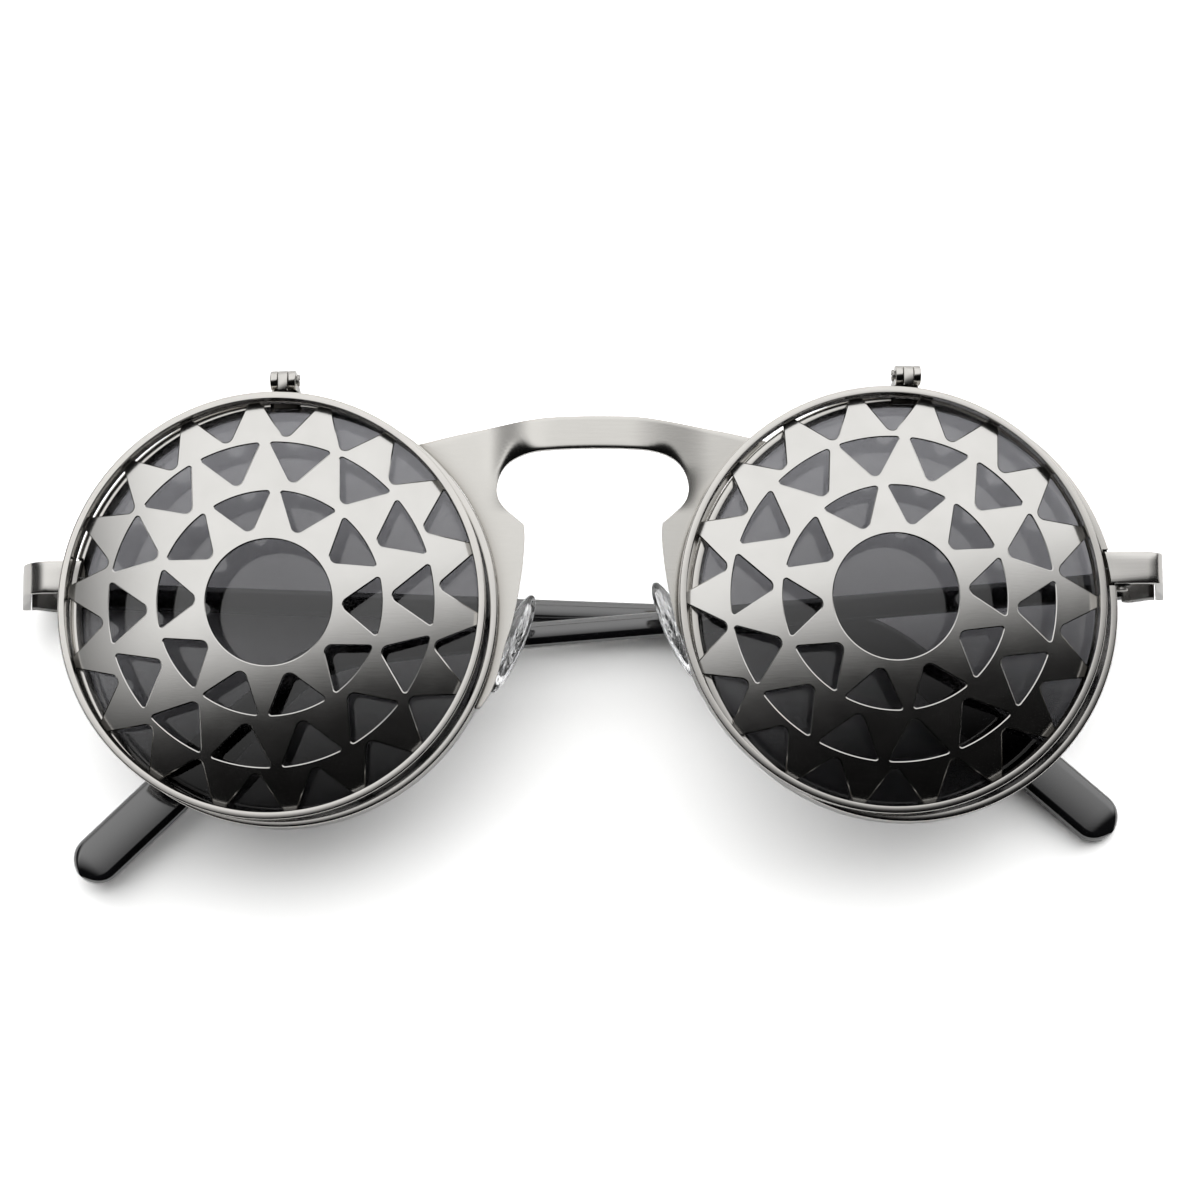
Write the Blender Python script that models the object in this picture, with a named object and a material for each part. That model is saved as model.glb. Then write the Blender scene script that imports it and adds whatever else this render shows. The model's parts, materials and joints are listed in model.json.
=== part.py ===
"""Round flip-up sunglasses with sunburst covers, folded and lying on their temples.

+X runs from the left hinge to the right hinge, +Y points to the brow, +Z points up out of the
lenses, and the table is at Z = 0. Left and right are as seen from the front.
Shapes are modelled for the right side and mirrored for the left one.
"""
import math

import bmesh
import bpy
from mathutils import Euler, Matrix, Vector

MM = 0.001

# Fits between pieces
SEAT_GAP = 0.12 * MM
RUNNING_GAP = 0.07 * MM
SIDE_GAP = 0.06 * MM
NOTCH_GAP = 0.30 * MM
OVERRUN = 2.0 * MM
SHARP_ANGLE = math.radians(30.0)
MERGE = 0.00005 * MM

# How the front lies: it is bowed, and stands higher over the temple that was folded first
BRIDGE_HALF_GAP = 12.0 * MM
WRAP = math.radians(4.75)
FRONT_TILT = math.radians(2.0)
FIRST_TEMPLE_TILT = math.radians(0.9)

# Rims and lenses
RIM_RADIUS = 27.0 * MM
RIM_DEPTH = 3.0 * MM
RIM_FACE = 0.95 * MM
RIM_CHAMFER = 0.15 * MM
RIM_WALL = 1.4 * MM
RIM_LIP_RADIUS = RIM_RADIUS - RIM_WALL
RIM_LIP_DEPTH = 1.3 * MM
GROOVE_TOP = 1.75 * MM
GROOVE_WIDTH = 1.0 * MM
GROOVE_DEPTH = 0.55 * MM
RIM_SPLIT = 0.35 * MM
LENS_RECESS = 0.35 * MM
LENS_THICKNESS = 1.7 * MM
LENS_CURVE = 220.0 * MM
LENS_RINGS = 3
RIM_STEPS = 60
LENS_STEPS = 48

# Bridge plate: its half outline as shares of its main sizes
BRIDGE_DROP = 3.05 * MM
BRIDGE_TOP = RIM_RADIUS - BRIDGE_DROP
BRIDGE_BAR_HEIGHT = 4.05 * MM
OPENING_HALF_WIDTH = 12.0 * MM
CORNER_HALF_WIDTH = 8.65 * MM
CORNER_HEIGHT = 10.6 * MM
PLATE_THICKNESS = 1.0 * MM
PLATE_DROP = 1.25 * MM
BAR_RISE = 0.9 * MM
BAR_BEND_START = 6.8 * MM
BAR_BEND_END = 12.8 * MM
BAR_BEND_FLOOR = 12.0 * MM
BAR_BEND_FADE = 6.0 * MM
PLATE_ACROSS = 4
RIM_JOIN_ANGLE = math.radians(129.0)
PLATE_TIP_ANGLE = math.radians(207.5)
BAR_OUTER_SHARES = ((0.0, 1.0), (0.25, 0.994), (0.46, 0.972), (0.64, 0.946), (0.82, 0.915))
OPENING_SHARES = ((0.0, 1.0), (0.36, 0.99), (0.66, 0.955), (0.84, 0.87), (0.95, 0.72),
                  (1.0, 0.52), (0.985, 0.36), (0.93, 0.24), (0.83, 0.12))
NASAL_EDGE_SHARES = ((1.0, 1.0), (0.99, 0.93), (1.018, 0.79), (1.07, 0.66), (1.125, 0.555),
                     (1.195, 0.445), (1.29, 0.34), (1.395, 0.19), (1.505, 0.085), (1.66, 0.0))

# End pieces
END_LEVEL = 5.0 * MM
END_HEIGHT_AT_RIM = 4.0 * MM
END_HEIGHT_AT_CORNER = 3.9 * MM
END_THICKNESS = 1.05 * MM
END_LAP = 0.6 * MM
END_REACH = 5.8 * MM
END_LEG = 12.5 * MM
END_SPLAY = math.radians(12.2)
END_CORNER_RADIUS = 2.3 * MM
END_CORNER_STEPS = 4

# Screws
HEAD_EDGE_SHARE = 0.6
HEAD_TOP_SHARE = 0.8
SLOT_WIDTH = 0.25 * MM
SLOT_DEPTH = 0.2 * MM
SCREW_STEPS = 12

# Closing blocks and their screw
BLOCK_WIDTH = 1.9 * MM
BLOCK_HEIGHT = 2.0 * MM
BLOCK_BORE_FLOOR = 0.3 * MM
CLOSING_SCREW_RADIUS = 0.45 * MM
CLOSING_HEAD_RADIUS = 0.8 * MM
CLOSING_HEAD_HEIGHT = 0.5 * MM

# Flip covers: ring, domed sunburst sheet and hinge tongue
COVER_INSET = 0.1 * MM
COVER_RADIUS = RIM_RADIUS - COVER_INSET
COVER_FACE = 0.9 * MM
COVER_DEPTH = 2.5 * MM
COVER_LIFT = 0.28 * MM
COVER_CHAMFER = 0.12 * MM
COVER_RAISE = 0.65 * MM
RIGHT_COVER_SHIFT = -2.35 * MM
LEFT_COVER_SHIFT = 1.5 * MM
LEDGE_WIDTH = 0.3 * MM
LEDGE_DEPTH = 0.35 * MM
COVER_STEPS = 60
SUN_THICKNESS = 0.5 * MM
SUN_CURVE = 93.0 * MM
SUN_EDGE_GAP = 0.1 * MM
SUN_RADIUS = COVER_RADIUS - COVER_FACE - SUN_EDGE_GAP
SUN_EYE_SHARE = 0.306
SUN_EYE_STEPS = 48
RIGHT_SUN_ANGLE = math.radians(-30.5)
LEFT_SUN_ANGLE = math.radians(-105.0)
INNER_ROW_COUNT = 10
INNER_ROW_SHARES = (0.359, 0.544)
INNER_ROW_WEB = 1.2 * MM
OUTER_ROW_COUNT = 14
OUTER_ROW_SHARES = (0.595, 0.788)
OUTER_ROW_WEB = 1.15 * MM
TOOTH_COUNT = 18
TOOTH_ROOT_SHARE = 0.8225
TOOTH_TIP = 1.5 * MM
APEX_ROUND = 0.9 * MM
CORNER_ROUND = 0.3 * MM
ARC_STEPS = 4
APEX_STEPS = 4
CORNER_STEPS = 2
TIP_STEPS = 2

# Flip hinges
RIGHT_FLIP_SHIFT = 0.6 * MM
LEFT_FLIP_SHIFT = -0.4 * MM
FLIP_RISE = 1.5 * MM
FLIP_KNUCKLE_RADIUS = 1.25 * MM
FLIP_TONGUE_WIDTH = 1.2 * MM
FLIP_CHEEK_WIDTH = 0.95 * MM
FLIP_TONGUE_THICKNESS = 1.4 * MM
FLIP_PIN_RADIUS = 0.45 * MM
FLIP_HEAD_RADIUS = 0.75 * MM
FLIP_HEAD_HEIGHT = 0.35 * MM
FLIP_LEG_THICKNESS = 0.9 * MM
FLIP_FOOT_LAP = 1.3 * MM
FLIP_BACK_ANGLE = math.radians(-60.0)
KNUCKLE_STEPS = 24

# Nose pads and the arms that carry them
PAD_CENTRE = (12.4 * MM, -2.0 * MM, -6.6 * MM)
PAD_LIFT = {"right": 0.75 * MM, "left": -0.75 * MM}
PAD_SPLAY = math.radians(23.0)
PAD_FLARE = math.radians(23.0)
PAD_ROCK = math.radians(8.0)
PAD_LENGTH = 13.4 * MM
PAD_WIDTH = 7.0 * MM
PAD_THICKNESS = 1.8 * MM
PAD_OFFSET = 2.4 * MM
PAD_LUG_LENGTH = 1.6 * MM
PAD_LUG_WIDTH = 1.0 * MM
PAD_LUG_REACH = 0.5 * MM
PAD_BOX_LENGTH = 3.0 * MM
PAD_BOX_WALL = 0.35 * MM
PAD_BOX_REACH = 0.55 * MM
PAD_SCREW_RADIUS = 0.3 * MM
PAD_SCREW_HEAD_RADIUS = 0.55 * MM
PAD_SCREW_HEAD_HEIGHT = 0.3 * MM
PAD_STEPS = 16
PAD_RINGS = 8
PAD_ARM_RADIUS = 0.45 * MM
PAD_ARM_ANGLE = math.radians(172.0)
PAD_ARM_DROP = 0.9 * MM
PAD_ARM_TOP = (11.3 * MM, 5.2 * MM, -4.6 * MM)
PAD_ARM_LOOP = (10.12 * MM, 3.12 * MM, -5.72 * MM)
PAD_ARM_RETURN = (13.6 * MM, 0.8 * MM, -5.9 * MM)
PAD_ARM_STUB = 1.6 * MM
PAD_ARM_STEPS = 5
PAD_ARM_BEVEL_STEPS = 1

# Temple hinges
HINGE_INSET = 3.2 * MM
HINGE_SETBACK = 1.0 * MM
HINGE_BARREL_RADIUS = 1.0 * MM
HINGE_HEIGHT = 5.0 * MM
HINGE_TEMPLE_BARREL = 1.4 * MM
HINGE_BASE_THICKNESS = 0.7 * MM
HINGE_BASE_LENGTH = 2.6 * MM
HINGE_BASE_SETBACK = 0.4 * MM
HINGE_SCREW_RADIUS = 0.42 * MM
HINGE_HEAD_RADIUS = 0.85 * MM
HINGE_HEAD_HEIGHT = 0.45 * MM

# Temples and their wire cores
TEMPLE_LENGTH = 145.7 * MM
TEMPLE_STRAIGHT = 97.5 * MM
TEMPLE_BEND_RADIUS = 20.0 * MM
TEMPLE_BEND = math.radians(38.7)
RIGHT_TEMPLE_DROOP = math.radians(4.4)
LEFT_TEMPLE_DROOP = math.radians(2.3)
TEMPLE_THICKNESS = 2.7 * MM
TEMPLE_OFFSET = 2.9 * MM
TEMPLE_BUTT = 0.7 * MM
TEMPLE_EDGE = 0.8 * MM
TEMPLE_FRONT_HEIGHT = 3.6 * MM
TEMPLE_MID_HEIGHT = 3.3 * MM
TEMPLE_BEND_HEIGHT = 4.3 * MM
TEMPLE_TIP_HEIGHT = 6.4 * MM
TEMPLE_HEIGHT_SHARES = ((0.0, TEMPLE_FRONT_HEIGHT), (0.12, TEMPLE_MID_HEIGHT),
                        (0.55, TEMPLE_MID_HEIGHT), (0.72, TEMPLE_BEND_HEIGHT),
                        (0.93, TEMPLE_TIP_HEIGHT), (1.0, TEMPLE_TIP_HEIGHT))
TEMPLE_STATION_SHARES = (0.0, 0.06, 0.12, 0.35, 0.55, 0.62, 0.69, 0.73, 0.77, 0.81, 0.85, 0.92)
TEMPLE_TIP_STEPS = 6
CORE_LENGTH = 84.0 * MM
CORE_THICKNESS = 0.9 * MM
CORE_CHAMFER = 0.3 * MM
CORE_GAP = 0.15 * MM

# Finishes: colour, roughness, metallic, transmission
STEEL = ((0.62, 0.60, 0.57, 1.0), 0.32, 1.0, 0.0)
SCREW_STEEL = ((0.42, 0.41, 0.39, 1.0), 0.38, 1.0, 0.0)
LENS_GREY = ((0.09, 0.09, 0.10, 1.0), 0.06, 0.0, 0.0)
PAD_CLEAR = ((0.85, 0.87, 0.88, 1.0), 0.15, 0.0, 0.9)
TEMPLE_BLACK = ((0.01, 0.01, 0.011, 1.0), 0.18, 0.0, 0.0)


def clear_objects():
    for old in list(bpy.data.objects):
        bpy.data.objects.remove(old, do_unlink=True)


def make_material(name, finish):
    colour, roughness, metallic, transmission = finish
    made = bpy.data.materials.new(name)
    made.use_nodes = True
    made.diffuse_color = colour
    shader = made.node_tree.nodes["Principled BSDF"]
    shader.inputs["Base Color"].default_value = colour
    shader.inputs["Roughness"].default_value = roughness
    shader.inputs["Metallic"].default_value = metallic
    shader.inputs["Transmission Weight"].default_value = transmission
    return made


def make_empty(name, parent=None, location=(0.0, 0.0, 0.0), rotation=(0.0, 0.0, 0.0)):
    made = bpy.data.objects.new(name, None)
    made.location = location
    made.rotation_euler = rotation
    made.parent = parent
    bpy.context.collection.objects.link(made)
    return made


def make_object(name, mesh, parent, finish, side=1.0):
    """Turn a bmesh into an object under its parent, mirrored for the left side."""
    if side < 0.0:
        bmesh.ops.scale(mesh, vec=(side, 1.0, 1.0), verts=mesh.verts)
        bmesh.ops.reverse_faces(mesh, faces=mesh.faces)
    data = bpy.data.meshes.new(name)
    mesh.to_mesh(data)
    mesh.free()
    data.shade_smooth()
    data.set_sharp_from_angle(angle=SHARP_ANGLE)
    made = bpy.data.objects.new(name, data)
    made.parent = parent
    if finish:
        made.data.materials.append(make_material(name, finish))
    bpy.context.collection.objects.link(made)
    return made


def combine(target, name, mesh, operation, side):
    """Cut a shape out of an object, or join it on, with an exact Boolean."""
    other = make_object(name, mesh, target.parent, None, side)
    other.hide_render = True
    other.display_type = "WIRE"
    modifier = target.modifiers.new(name, "BOOLEAN")
    modifier.operation = operation
    modifier.solver = "EXACT"
    modifier.object = other


def cut(target, name, mesh, side=1.0):
    combine(target, name, mesh, "DIFFERENCE", side)


def circle(centre, radius, steps, start=0.0, sweep=math.tau):
    """Points on a circle or, with a shorter sweep, on an arc with both its ends."""
    count = steps if sweep == math.tau else steps + 1
    return [(centre[0] + radius * math.cos(start + sweep * index / steps),
             centre[1] + radius * math.sin(start + sweep * index / steps))
            for index in range(count)]


def knuckle(centre, radius, start=0.0, sweep=math.tau):
    """A small circle or arc, with the same step on every hinge part."""
    steps = max(round(KNUCKLE_STEPS * abs(sweep) / math.tau), 1)
    return circle(centre, radius, steps, start, sweep)


def rounded(corners, steps):
    """An outline of (x, y, radius) corners, each turned into an arc of its radius."""
    points = []
    for index, (x, y, radius) in enumerate(corners):
        if radius <= 0.0:
            points.append((x, y))
            continue
        here = Vector((x, y))
        before = (Vector(corners[index - 1][:2]) - here).normalized()
        after = (Vector(corners[(index + 1) % len(corners)][:2]) - here).normalized()
        half = before.angle(after) / 2
        centre = here + (before + after).normalized() * radius / math.sin(half)
        first = here + before * radius / math.tan(half) - centre
        last = here + after * radius / math.tan(half) - centre
        start = math.atan2(first.y, first.x)
        sweep = math.atan2(first.x * last.y - first.y * last.x, first.dot(last))
        points += circle(centre, radius, steps, start, sweep)
    return points


def turned(profile, steps, closed=True):
    """Turn a (radius, height) profile about the Z axis."""
    mesh = bmesh.new()
    points = [mesh.verts.new((radius, 0.0, height)) for radius, height in profile]
    lines = [mesh.edges.new(pair) for pair in zip(points, points[1:])]
    if closed:
        lines.append(mesh.edges.new((points[-1], points[0])))
    bmesh.ops.spin(mesh, geom=points + lines, cent=(0.0, 0.0, 0.0), axis=(0.0, 0.0, 1.0),
                   angle=math.tau, steps=steps, use_merge=True)
    bmesh.ops.remove_doubles(mesh, verts=mesh.verts, dist=MERGE)
    bmesh.ops.recalc_face_normals(mesh, faces=mesh.faces)
    return mesh


def slab(loops, low, high, plane="XY"):
    """A solid between two levels of the third axis; its first loop lies around the others."""
    mesh = bmesh.new()
    for loop in loops:
        points = [mesh.verts.new((x, y, low)) for x, y in loop]
        for first, second in zip(points, points[1:] + points[:1]):
            mesh.edges.new((first, second))
    bmesh.ops.triangle_fill(mesh, use_beauty=True, edges=mesh.edges[:])
    grown = bmesh.ops.extrude_face_region(mesh, geom=mesh.faces[:])
    moved = [item for item in grown["geom"] if isinstance(item, bmesh.types.BMVert)]
    bmesh.ops.translate(mesh, verts=moved, vec=(0.0, 0.0, high - low))
    if plane == "YZ":
        swap = Matrix(((0, 0, 1, 0), (1, 0, 0, 0), (0, 1, 0, 0), (0, 0, 0, 1)))
        bmesh.ops.transform(mesh, verts=mesh.verts, matrix=swap)
    if plane == "ZX":
        swap = Matrix(((0, 1, 0, 0), (0, 0, 1, 0), (1, 0, 0, 0), (0, 0, 0, 1)))
        bmesh.ops.transform(mesh, verts=mesh.verts, matrix=swap)
    bmesh.ops.recalc_face_normals(mesh, faces=mesh.faces)
    return mesh


def block(x_low, x_high, y_low, y_high, z_low, z_high):
    corners = ((x_low, y_low), (x_high, y_low), (x_high, y_high), (x_low, y_high))
    return slab([corners], z_low, z_high)


def build_screw(side, name, parent, place, sizes, length):
    """A slotted screw: before it is placed, its head's underside is at zero, its shaft below."""
    radius, head_radius, head_height = sizes
    profile = ((0.0, -length), (radius, -length), (radius, 0.0), (head_radius, 0.0),
               (head_radius, head_height * HEAD_EDGE_SHARE),
               (head_radius * HEAD_TOP_SHARE, head_height), (0.0, head_height))
    mesh = turned(profile, SCREW_STEPS, closed=False)
    bmesh.ops.transform(mesh, verts=mesh.verts, matrix=place)
    made = make_object(name, mesh, parent, SCREW_STEEL, side)
    reach = head_radius + OVERRUN
    slot = block(-reach, reach, -SLOT_WIDTH / 2, SLOT_WIDTH / 2,
                 head_height - SLOT_DEPTH, head_height + OVERRUN)
    bmesh.ops.transform(slot, verts=slot.verts, matrix=place)
    cut(made, name + "_slot", slot, side)


def smooth_step(value):
    value = min(max(value, 0.0), 1.0)
    return value * value * (3.0 - 2.0 * value)


def eye_offset():
    """Where an eye's centre stands in the front's frame."""
    return (BRIDGE_HALF_GAP + RIM_RADIUS * math.cos(WRAP), 0.0, -RIM_RADIUS * math.sin(WRAP))


def eye_to_front(point):
    """A point of the right eye's frame, in the front's frame."""
    return Matrix.Rotation(WRAP, 3, "Y") @ Vector(point) + Vector(eye_offset())


def flip_axis():
    """Height and level of the flip hinge's axis in the eye's frame."""
    return (COVER_RAISE + COVER_RADIUS + FLIP_RISE,
            COVER_LIFT + COVER_DEPTH - FLIP_KNUCKLE_RADIUS)


def flip_half_width():
    return FLIP_TONGUE_WIDTH / 2 + SIDE_GAP + FLIP_CHEEK_WIDTH


def notch_depth():
    """How deep the rim's face is let in for the end piece and the flip hinge's foot."""
    return END_THICKNESS + SEAT_GAP


def leg_inner(level):
    """How far out the inner face of the end piece's leg stands, at a level behind the face."""
    corner = RIM_RADIUS + END_REACH - END_THICKNESS / math.cos(END_SPLAY)
    return corner - level * math.tan(END_SPLAY)


def hinge_axis():
    """Temple hinge axis in the eye's frame."""
    return (leg_inner(-END_LEG) - HINGE_INSET, END_LEVEL, -END_LEG - HINGE_SETBACK)


def closing_axis():
    """Distance and level of the closing screw's axis in the eye's frame."""
    return RIM_RADIUS + SEAT_GAP + CLOSING_HEAD_RADIUS, -(notch_depth() + RIM_DEPTH) / 2


def build_rim(side, name, eye, flip_shift):
    groove = RIM_LIP_RADIUS + GROOVE_DEPTH
    profile = ((RIM_RADIUS, -RIM_DEPTH + RIM_CHAMFER), (RIM_RADIUS, -RIM_CHAMFER),
               (RIM_RADIUS - RIM_CHAMFER, 0.0), (RIM_RADIUS - RIM_FACE, 0.0),
               (RIM_LIP_RADIUS, -RIM_LIP_DEPTH), (RIM_LIP_RADIUS, -GROOVE_TOP),
               (groove, -GROOVE_TOP - GROOVE_WIDTH / 2),
               (RIM_LIP_RADIUS, -GROOVE_TOP - GROOVE_WIDTH),
               (RIM_LIP_RADIUS, -RIM_DEPTH), (RIM_RADIUS - RIM_CHAMFER, -RIM_DEPTH))
    rim = make_object(name + "_rim", turned(profile, RIM_STEPS), eye, STEEL, side)
    deep = RIM_LIP_RADIUS - OVERRUN
    far = RIM_RADIUS + OVERRUN
    floor = -notch_depth()
    half_foot = flip_half_width() + NOTCH_GAP
    cut(rim, name + "_foot_notch",
        block(flip_shift - half_foot, flip_shift + half_foot,
              RIM_RADIUS - FLIP_FOOT_LAP - NOTCH_GAP, far, floor, OVERRUN), side)
    half_end = END_HEIGHT_AT_RIM / 2 + NOTCH_GAP
    half_split = RIM_SPLIT / 2
    cut(rim, name + "_end_notch",
        block(RIM_RADIUS - END_LAP - NOTCH_GAP - END_LEVEL * END_LEVEL / RIM_RADIUS, far,
              END_LEVEL - half_end, END_LEVEL + half_end, floor, OVERRUN), side)
    cut(rim, name + "_split",
        block(deep, far, END_LEVEL - half_split, END_LEVEL + half_split,
              -RIM_DEPTH - OVERRUN, OVERRUN), side)


def build_lens(side, name, eye):
    """A shallow dome whose edge ends in the bevel that the rim's groove holds."""
    edge = RIM_LIP_RADIUS - SEAT_GAP
    crest = RIM_LIP_RADIUS + GROOVE_DEPTH - SEAT_GAP * 2
    middle = -GROOVE_TOP - GROOVE_WIDTH / 2
    half_bevel = GROOVE_WIDTH / 2 - SEAT_GAP

    def front(radius):
        return -LENS_RECESS - radius * radius / (2 * LENS_CURVE)

    rings = [edge * index / LENS_RINGS for index in range(LENS_RINGS + 1)]
    upper = [(radius, front(radius)) for radius in rings]
    lower = [(radius, front(radius) - LENS_THICKNESS) for radius in rings]
    bevel = [(edge, middle + half_bevel), (crest, middle), (edge, middle - half_bevel)]
    if upper[-1][1] <= bevel[0][1]:
        upper.pop()
    profile = upper + bevel + lower[::-1]
    make_object(name + "_lens", turned(profile, LENS_STEPS, closed=False), eye, LENS_GREY, side)


def bridge_half(depth):
    """Pairs of outer and inner points down the right half of the plate, at a depth in the rim."""
    reach = RIM_RADIUS + SEAT_GAP

    def beside_rim(angle):
        return tuple(eye_to_front((reach * math.cos(angle), reach * math.sin(angle), -depth)).xy)

    join_x = beside_rim(RIM_JOIN_ANGLE)[0]
    outer = [(join_x * x_share, BRIDGE_TOP * y_share) for x_share, y_share in BAR_OUTER_SHARES]
    steps = len(OPENING_SHARES) + len(NASAL_EDGE_SHARES) - len(BAR_OUTER_SHARES)
    sweep = PLATE_TIP_ANGLE - RIM_JOIN_ANGLE
    outer += [beside_rim(RIM_JOIN_ANGLE + sweep * index / (steps - 1)) for index in range(steps)]
    span = BRIDGE_TOP - BRIDGE_BAR_HEIGHT - CORNER_HEIGHT
    inner = [(OPENING_HALF_WIDTH * x_share, CORNER_HEIGHT + span * y_share)
             for x_share, y_share in OPENING_SHARES]
    tip = outer[-1][1]
    inner += [(CORNER_HALF_WIDTH * x_share, tip + (CORNER_HEIGHT - tip) * y_share)
              for x_share, y_share in NASAL_EDGE_SHARES]
    return list(zip(outer, inner))


def plate_level(x, y):
    """Front surface of the bridge plate: bowed halves, and a bar that stands forward."""
    away = abs(x)
    halves = (BRIDGE_HALF_GAP - away) * math.tan(WRAP) - PLATE_DROP
    bend = smooth_step((BAR_BEND_END - away) / (BAR_BEND_END - BAR_BEND_START))
    fade = smooth_step((y - BAR_BEND_FLOOR) / BAR_BEND_FADE)
    return halves + (BAR_RISE - halves) * bend * fade


def build_bridge(front):
    mesh = bmesh.new()
    faces = []
    for drop in (0.0, PLATE_THICKNESS):
        half = bridge_half(PLATE_DROP + drop)
        pairs = [((-outer[0], outer[1]), (-inner[0], inner[1])) for outer, inner in half[:0:-1]]
        rows = []
        for outer, inner in pairs + half:
            row = []
            for index in range(PLATE_ACROSS + 1):
                share = index / PLATE_ACROSS
                x = outer[0] + (inner[0] - outer[0]) * share
                y = outer[1] + (inner[1] - outer[1]) * share
                row.append(mesh.verts.new((x, y, plate_level(x, y) - drop)))
            rows.append(row)
        faces.append(rows)
    upper, lower = faces
    for rows in faces:
        for first, second in zip(rows, rows[1:]):
            for index in range(PLATE_ACROSS):
                mesh.faces.new((first[index], first[index + 1], second[index + 1], second[index]))
    for index in range(len(upper) - 1):
        for side in (0, PLATE_ACROSS):
            mesh.faces.new((upper[index][side], upper[index + 1][side],
                            lower[index + 1][side], lower[index][side]))
    for end in (0, -1):
        for index in range(PLATE_ACROSS):
            mesh.faces.new((upper[end][index], upper[end][index + 1],
                            lower[end][index + 1], lower[end][index]))
    bmesh.ops.recalc_face_normals(mesh, faces=mesh.faces)
    make_object("bridge_plate", mesh, front, STEEL)


def build_end_piece(side, name, eye):
    """A bent strip: its inner end laps the rim, its leg runs back to the temple hinge."""
    corner = RIM_RADIUS + END_REACH
    start = RIM_RADIUS - END_LAP
    rear = corner + END_LEG * math.tan(END_SPLAY)
    inner_radius = max(END_CORNER_RADIUS - END_THICKNESS, 0.0)
    corners = ((start, 0.0, 0.0), (corner, 0.0, END_CORNER_RADIUS), (rear, -END_LEG, 0.0),
               (leg_inner(-END_LEG), -END_LEG, 0.0),
               (leg_inner(-END_THICKNESS), -END_THICKNESS, inner_radius),
               (start, -END_THICKNESS, 0.0))
    shape = [(z, x) for x, z in rounded(corners, END_CORNER_STEPS)]
    half = END_HEIGHT_AT_RIM / 2
    mesh = slab([shape], -half, half, "ZX")
    for vertex in mesh.verts:
        along = min(max((vertex.co.x - start) / (corner - start), 0.0), 1.0)
        taper = 1.0 + (END_HEIGHT_AT_CORNER / END_HEIGHT_AT_RIM - 1.0) * along
        vertex.co.y = END_LEVEL + vertex.co.y * taper
        if vertex.co.x <= start + MERGE:
            vertex.co.x = math.sqrt(start * start - vertex.co.y * vertex.co.y)
    make_object(name + "_end_piece", mesh, eye, STEEL, side)


def build_closing_blocks(side, name, eye):
    """Two blocks on the rim's ends, drawn together round the lens by a screw from below."""
    screw_x, screw_z = closing_axis()
    seat = RIM_RADIUS + SEAT_GAP
    outside = screw_x + BLOCK_WIDTH / 2
    upper = END_LEVEL + RIM_SPLIT / 2
    lower = END_LEVEL - RIM_SPLIT / 2
    spans = (("upper", upper, upper + BLOCK_HEIGHT, upper + BLOCK_HEIGHT - BLOCK_BORE_FLOOR),
             ("lower", lower - BLOCK_HEIGHT, lower, lower + OVERRUN))
    for place, low, high, bore_end in spans:
        inside = [(math.sqrt(seat * seat - y * y), y) for y in (high, (low + high) / 2, low)]
        mesh = slab([inside + [(outside, low), (outside, high)]], -RIM_DEPTH, -notch_depth())
        made = make_object(name + "_closing_block_" + place, mesh, eye, STEEL, side)
        bore = knuckle((screw_z, screw_x), CLOSING_SCREW_RADIUS + RUNNING_GAP)
        cut(made, name + "_closing_bore_" + place,
            slab([bore], low - OVERRUN, bore_end, "ZX"), side)
    under = lower - BLOCK_HEIGHT - SEAT_GAP
    place = Matrix.Translation((screw_x, under, screw_z)) @ Matrix.Rotation(math.pi / 2, 4, "X")
    sizes = (CLOSING_SCREW_RADIUS, CLOSING_HEAD_RADIUS, CLOSING_HEAD_HEIGHT)
    length = upper + BLOCK_HEIGHT - BLOCK_BORE_FLOOR - SEAT_GAP - under
    build_screw(side, name + "_closing_screw", eye, place, sizes, length)


def build_flip_clevis(side, name, seat):
    """Two cheeks on a leg whose foot laps the rim's face, and the screw between them."""
    height, level = flip_axis()
    radius = FLIP_KNUCKLE_RADIUS
    foot_low = -notch_depth() + SEAT_GAP
    lap = RIM_RADIUS - FLIP_FOOT_LAP
    wall = RIM_RADIUS + SEAT_GAP
    shape = knuckle((height, level), radius, FLIP_BACK_ANGLE, math.pi - FLIP_BACK_ANGLE)
    shape += [(height - radius, -SEAT_GAP), (lap, -SEAT_GAP), (lap, foot_low), (wall, foot_low),
              (wall, -RIM_DEPTH), (wall + FLIP_LEG_THICKNESS, -RIM_DEPTH)]
    half = flip_half_width()
    made = make_object(name + "_flip_clevis", slab([shape], -half, half, "YZ"), seat, STEEL, side)
    half_slot = FLIP_TONGUE_WIDTH / 2 + SIDE_GAP
    cut(made, name + "_clevis_slot",
        block(-half_slot, half_slot, lap - OVERRUN, height + radius + OVERRUN,
              level - radius - SEAT_GAP, level + radius + OVERRUN), side)
    bore = knuckle((height, level), FLIP_PIN_RADIUS + RUNNING_GAP)
    cut(made, name + "_clevis_bore", slab([bore], -half - OVERRUN, half + OVERRUN, "YZ"), side)
    place = (Matrix.Translation((-half - SEAT_GAP, height, level))
             @ Matrix.Rotation(-math.pi / 2, 4, "Y"))
    sizes = (FLIP_PIN_RADIUS, FLIP_HEAD_RADIUS, FLIP_HEAD_HEIGHT)
    build_screw(side, name + "_flip_pin", seat, place, sizes, half * 2 + SEAT_GAP)


def build_flip_tongue(side, name, cover):
    """The cover's own knuckle and the short arm that is soldered to its ring."""
    radius = FLIP_KNUCKLE_RADIUS
    under = radius - FLIP_TONGUE_THICKNESS
    seat = -FLIP_RISE + SEAT_GAP
    sweep = math.pi * 3 / 2 + math.asin(under / radius)
    shape = knuckle((0.0, 0.0), radius, math.pi / 2, -sweep) + [(seat, under), (seat, radius)]
    bore = knuckle((0.0, 0.0), FLIP_PIN_RADIUS + RUNNING_GAP)
    half = FLIP_TONGUE_WIDTH / 2
    make_object(name + "_flip_tongue", slab([shape, bore], -half, half, "YZ"), cover, STEEL, side)


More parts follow.
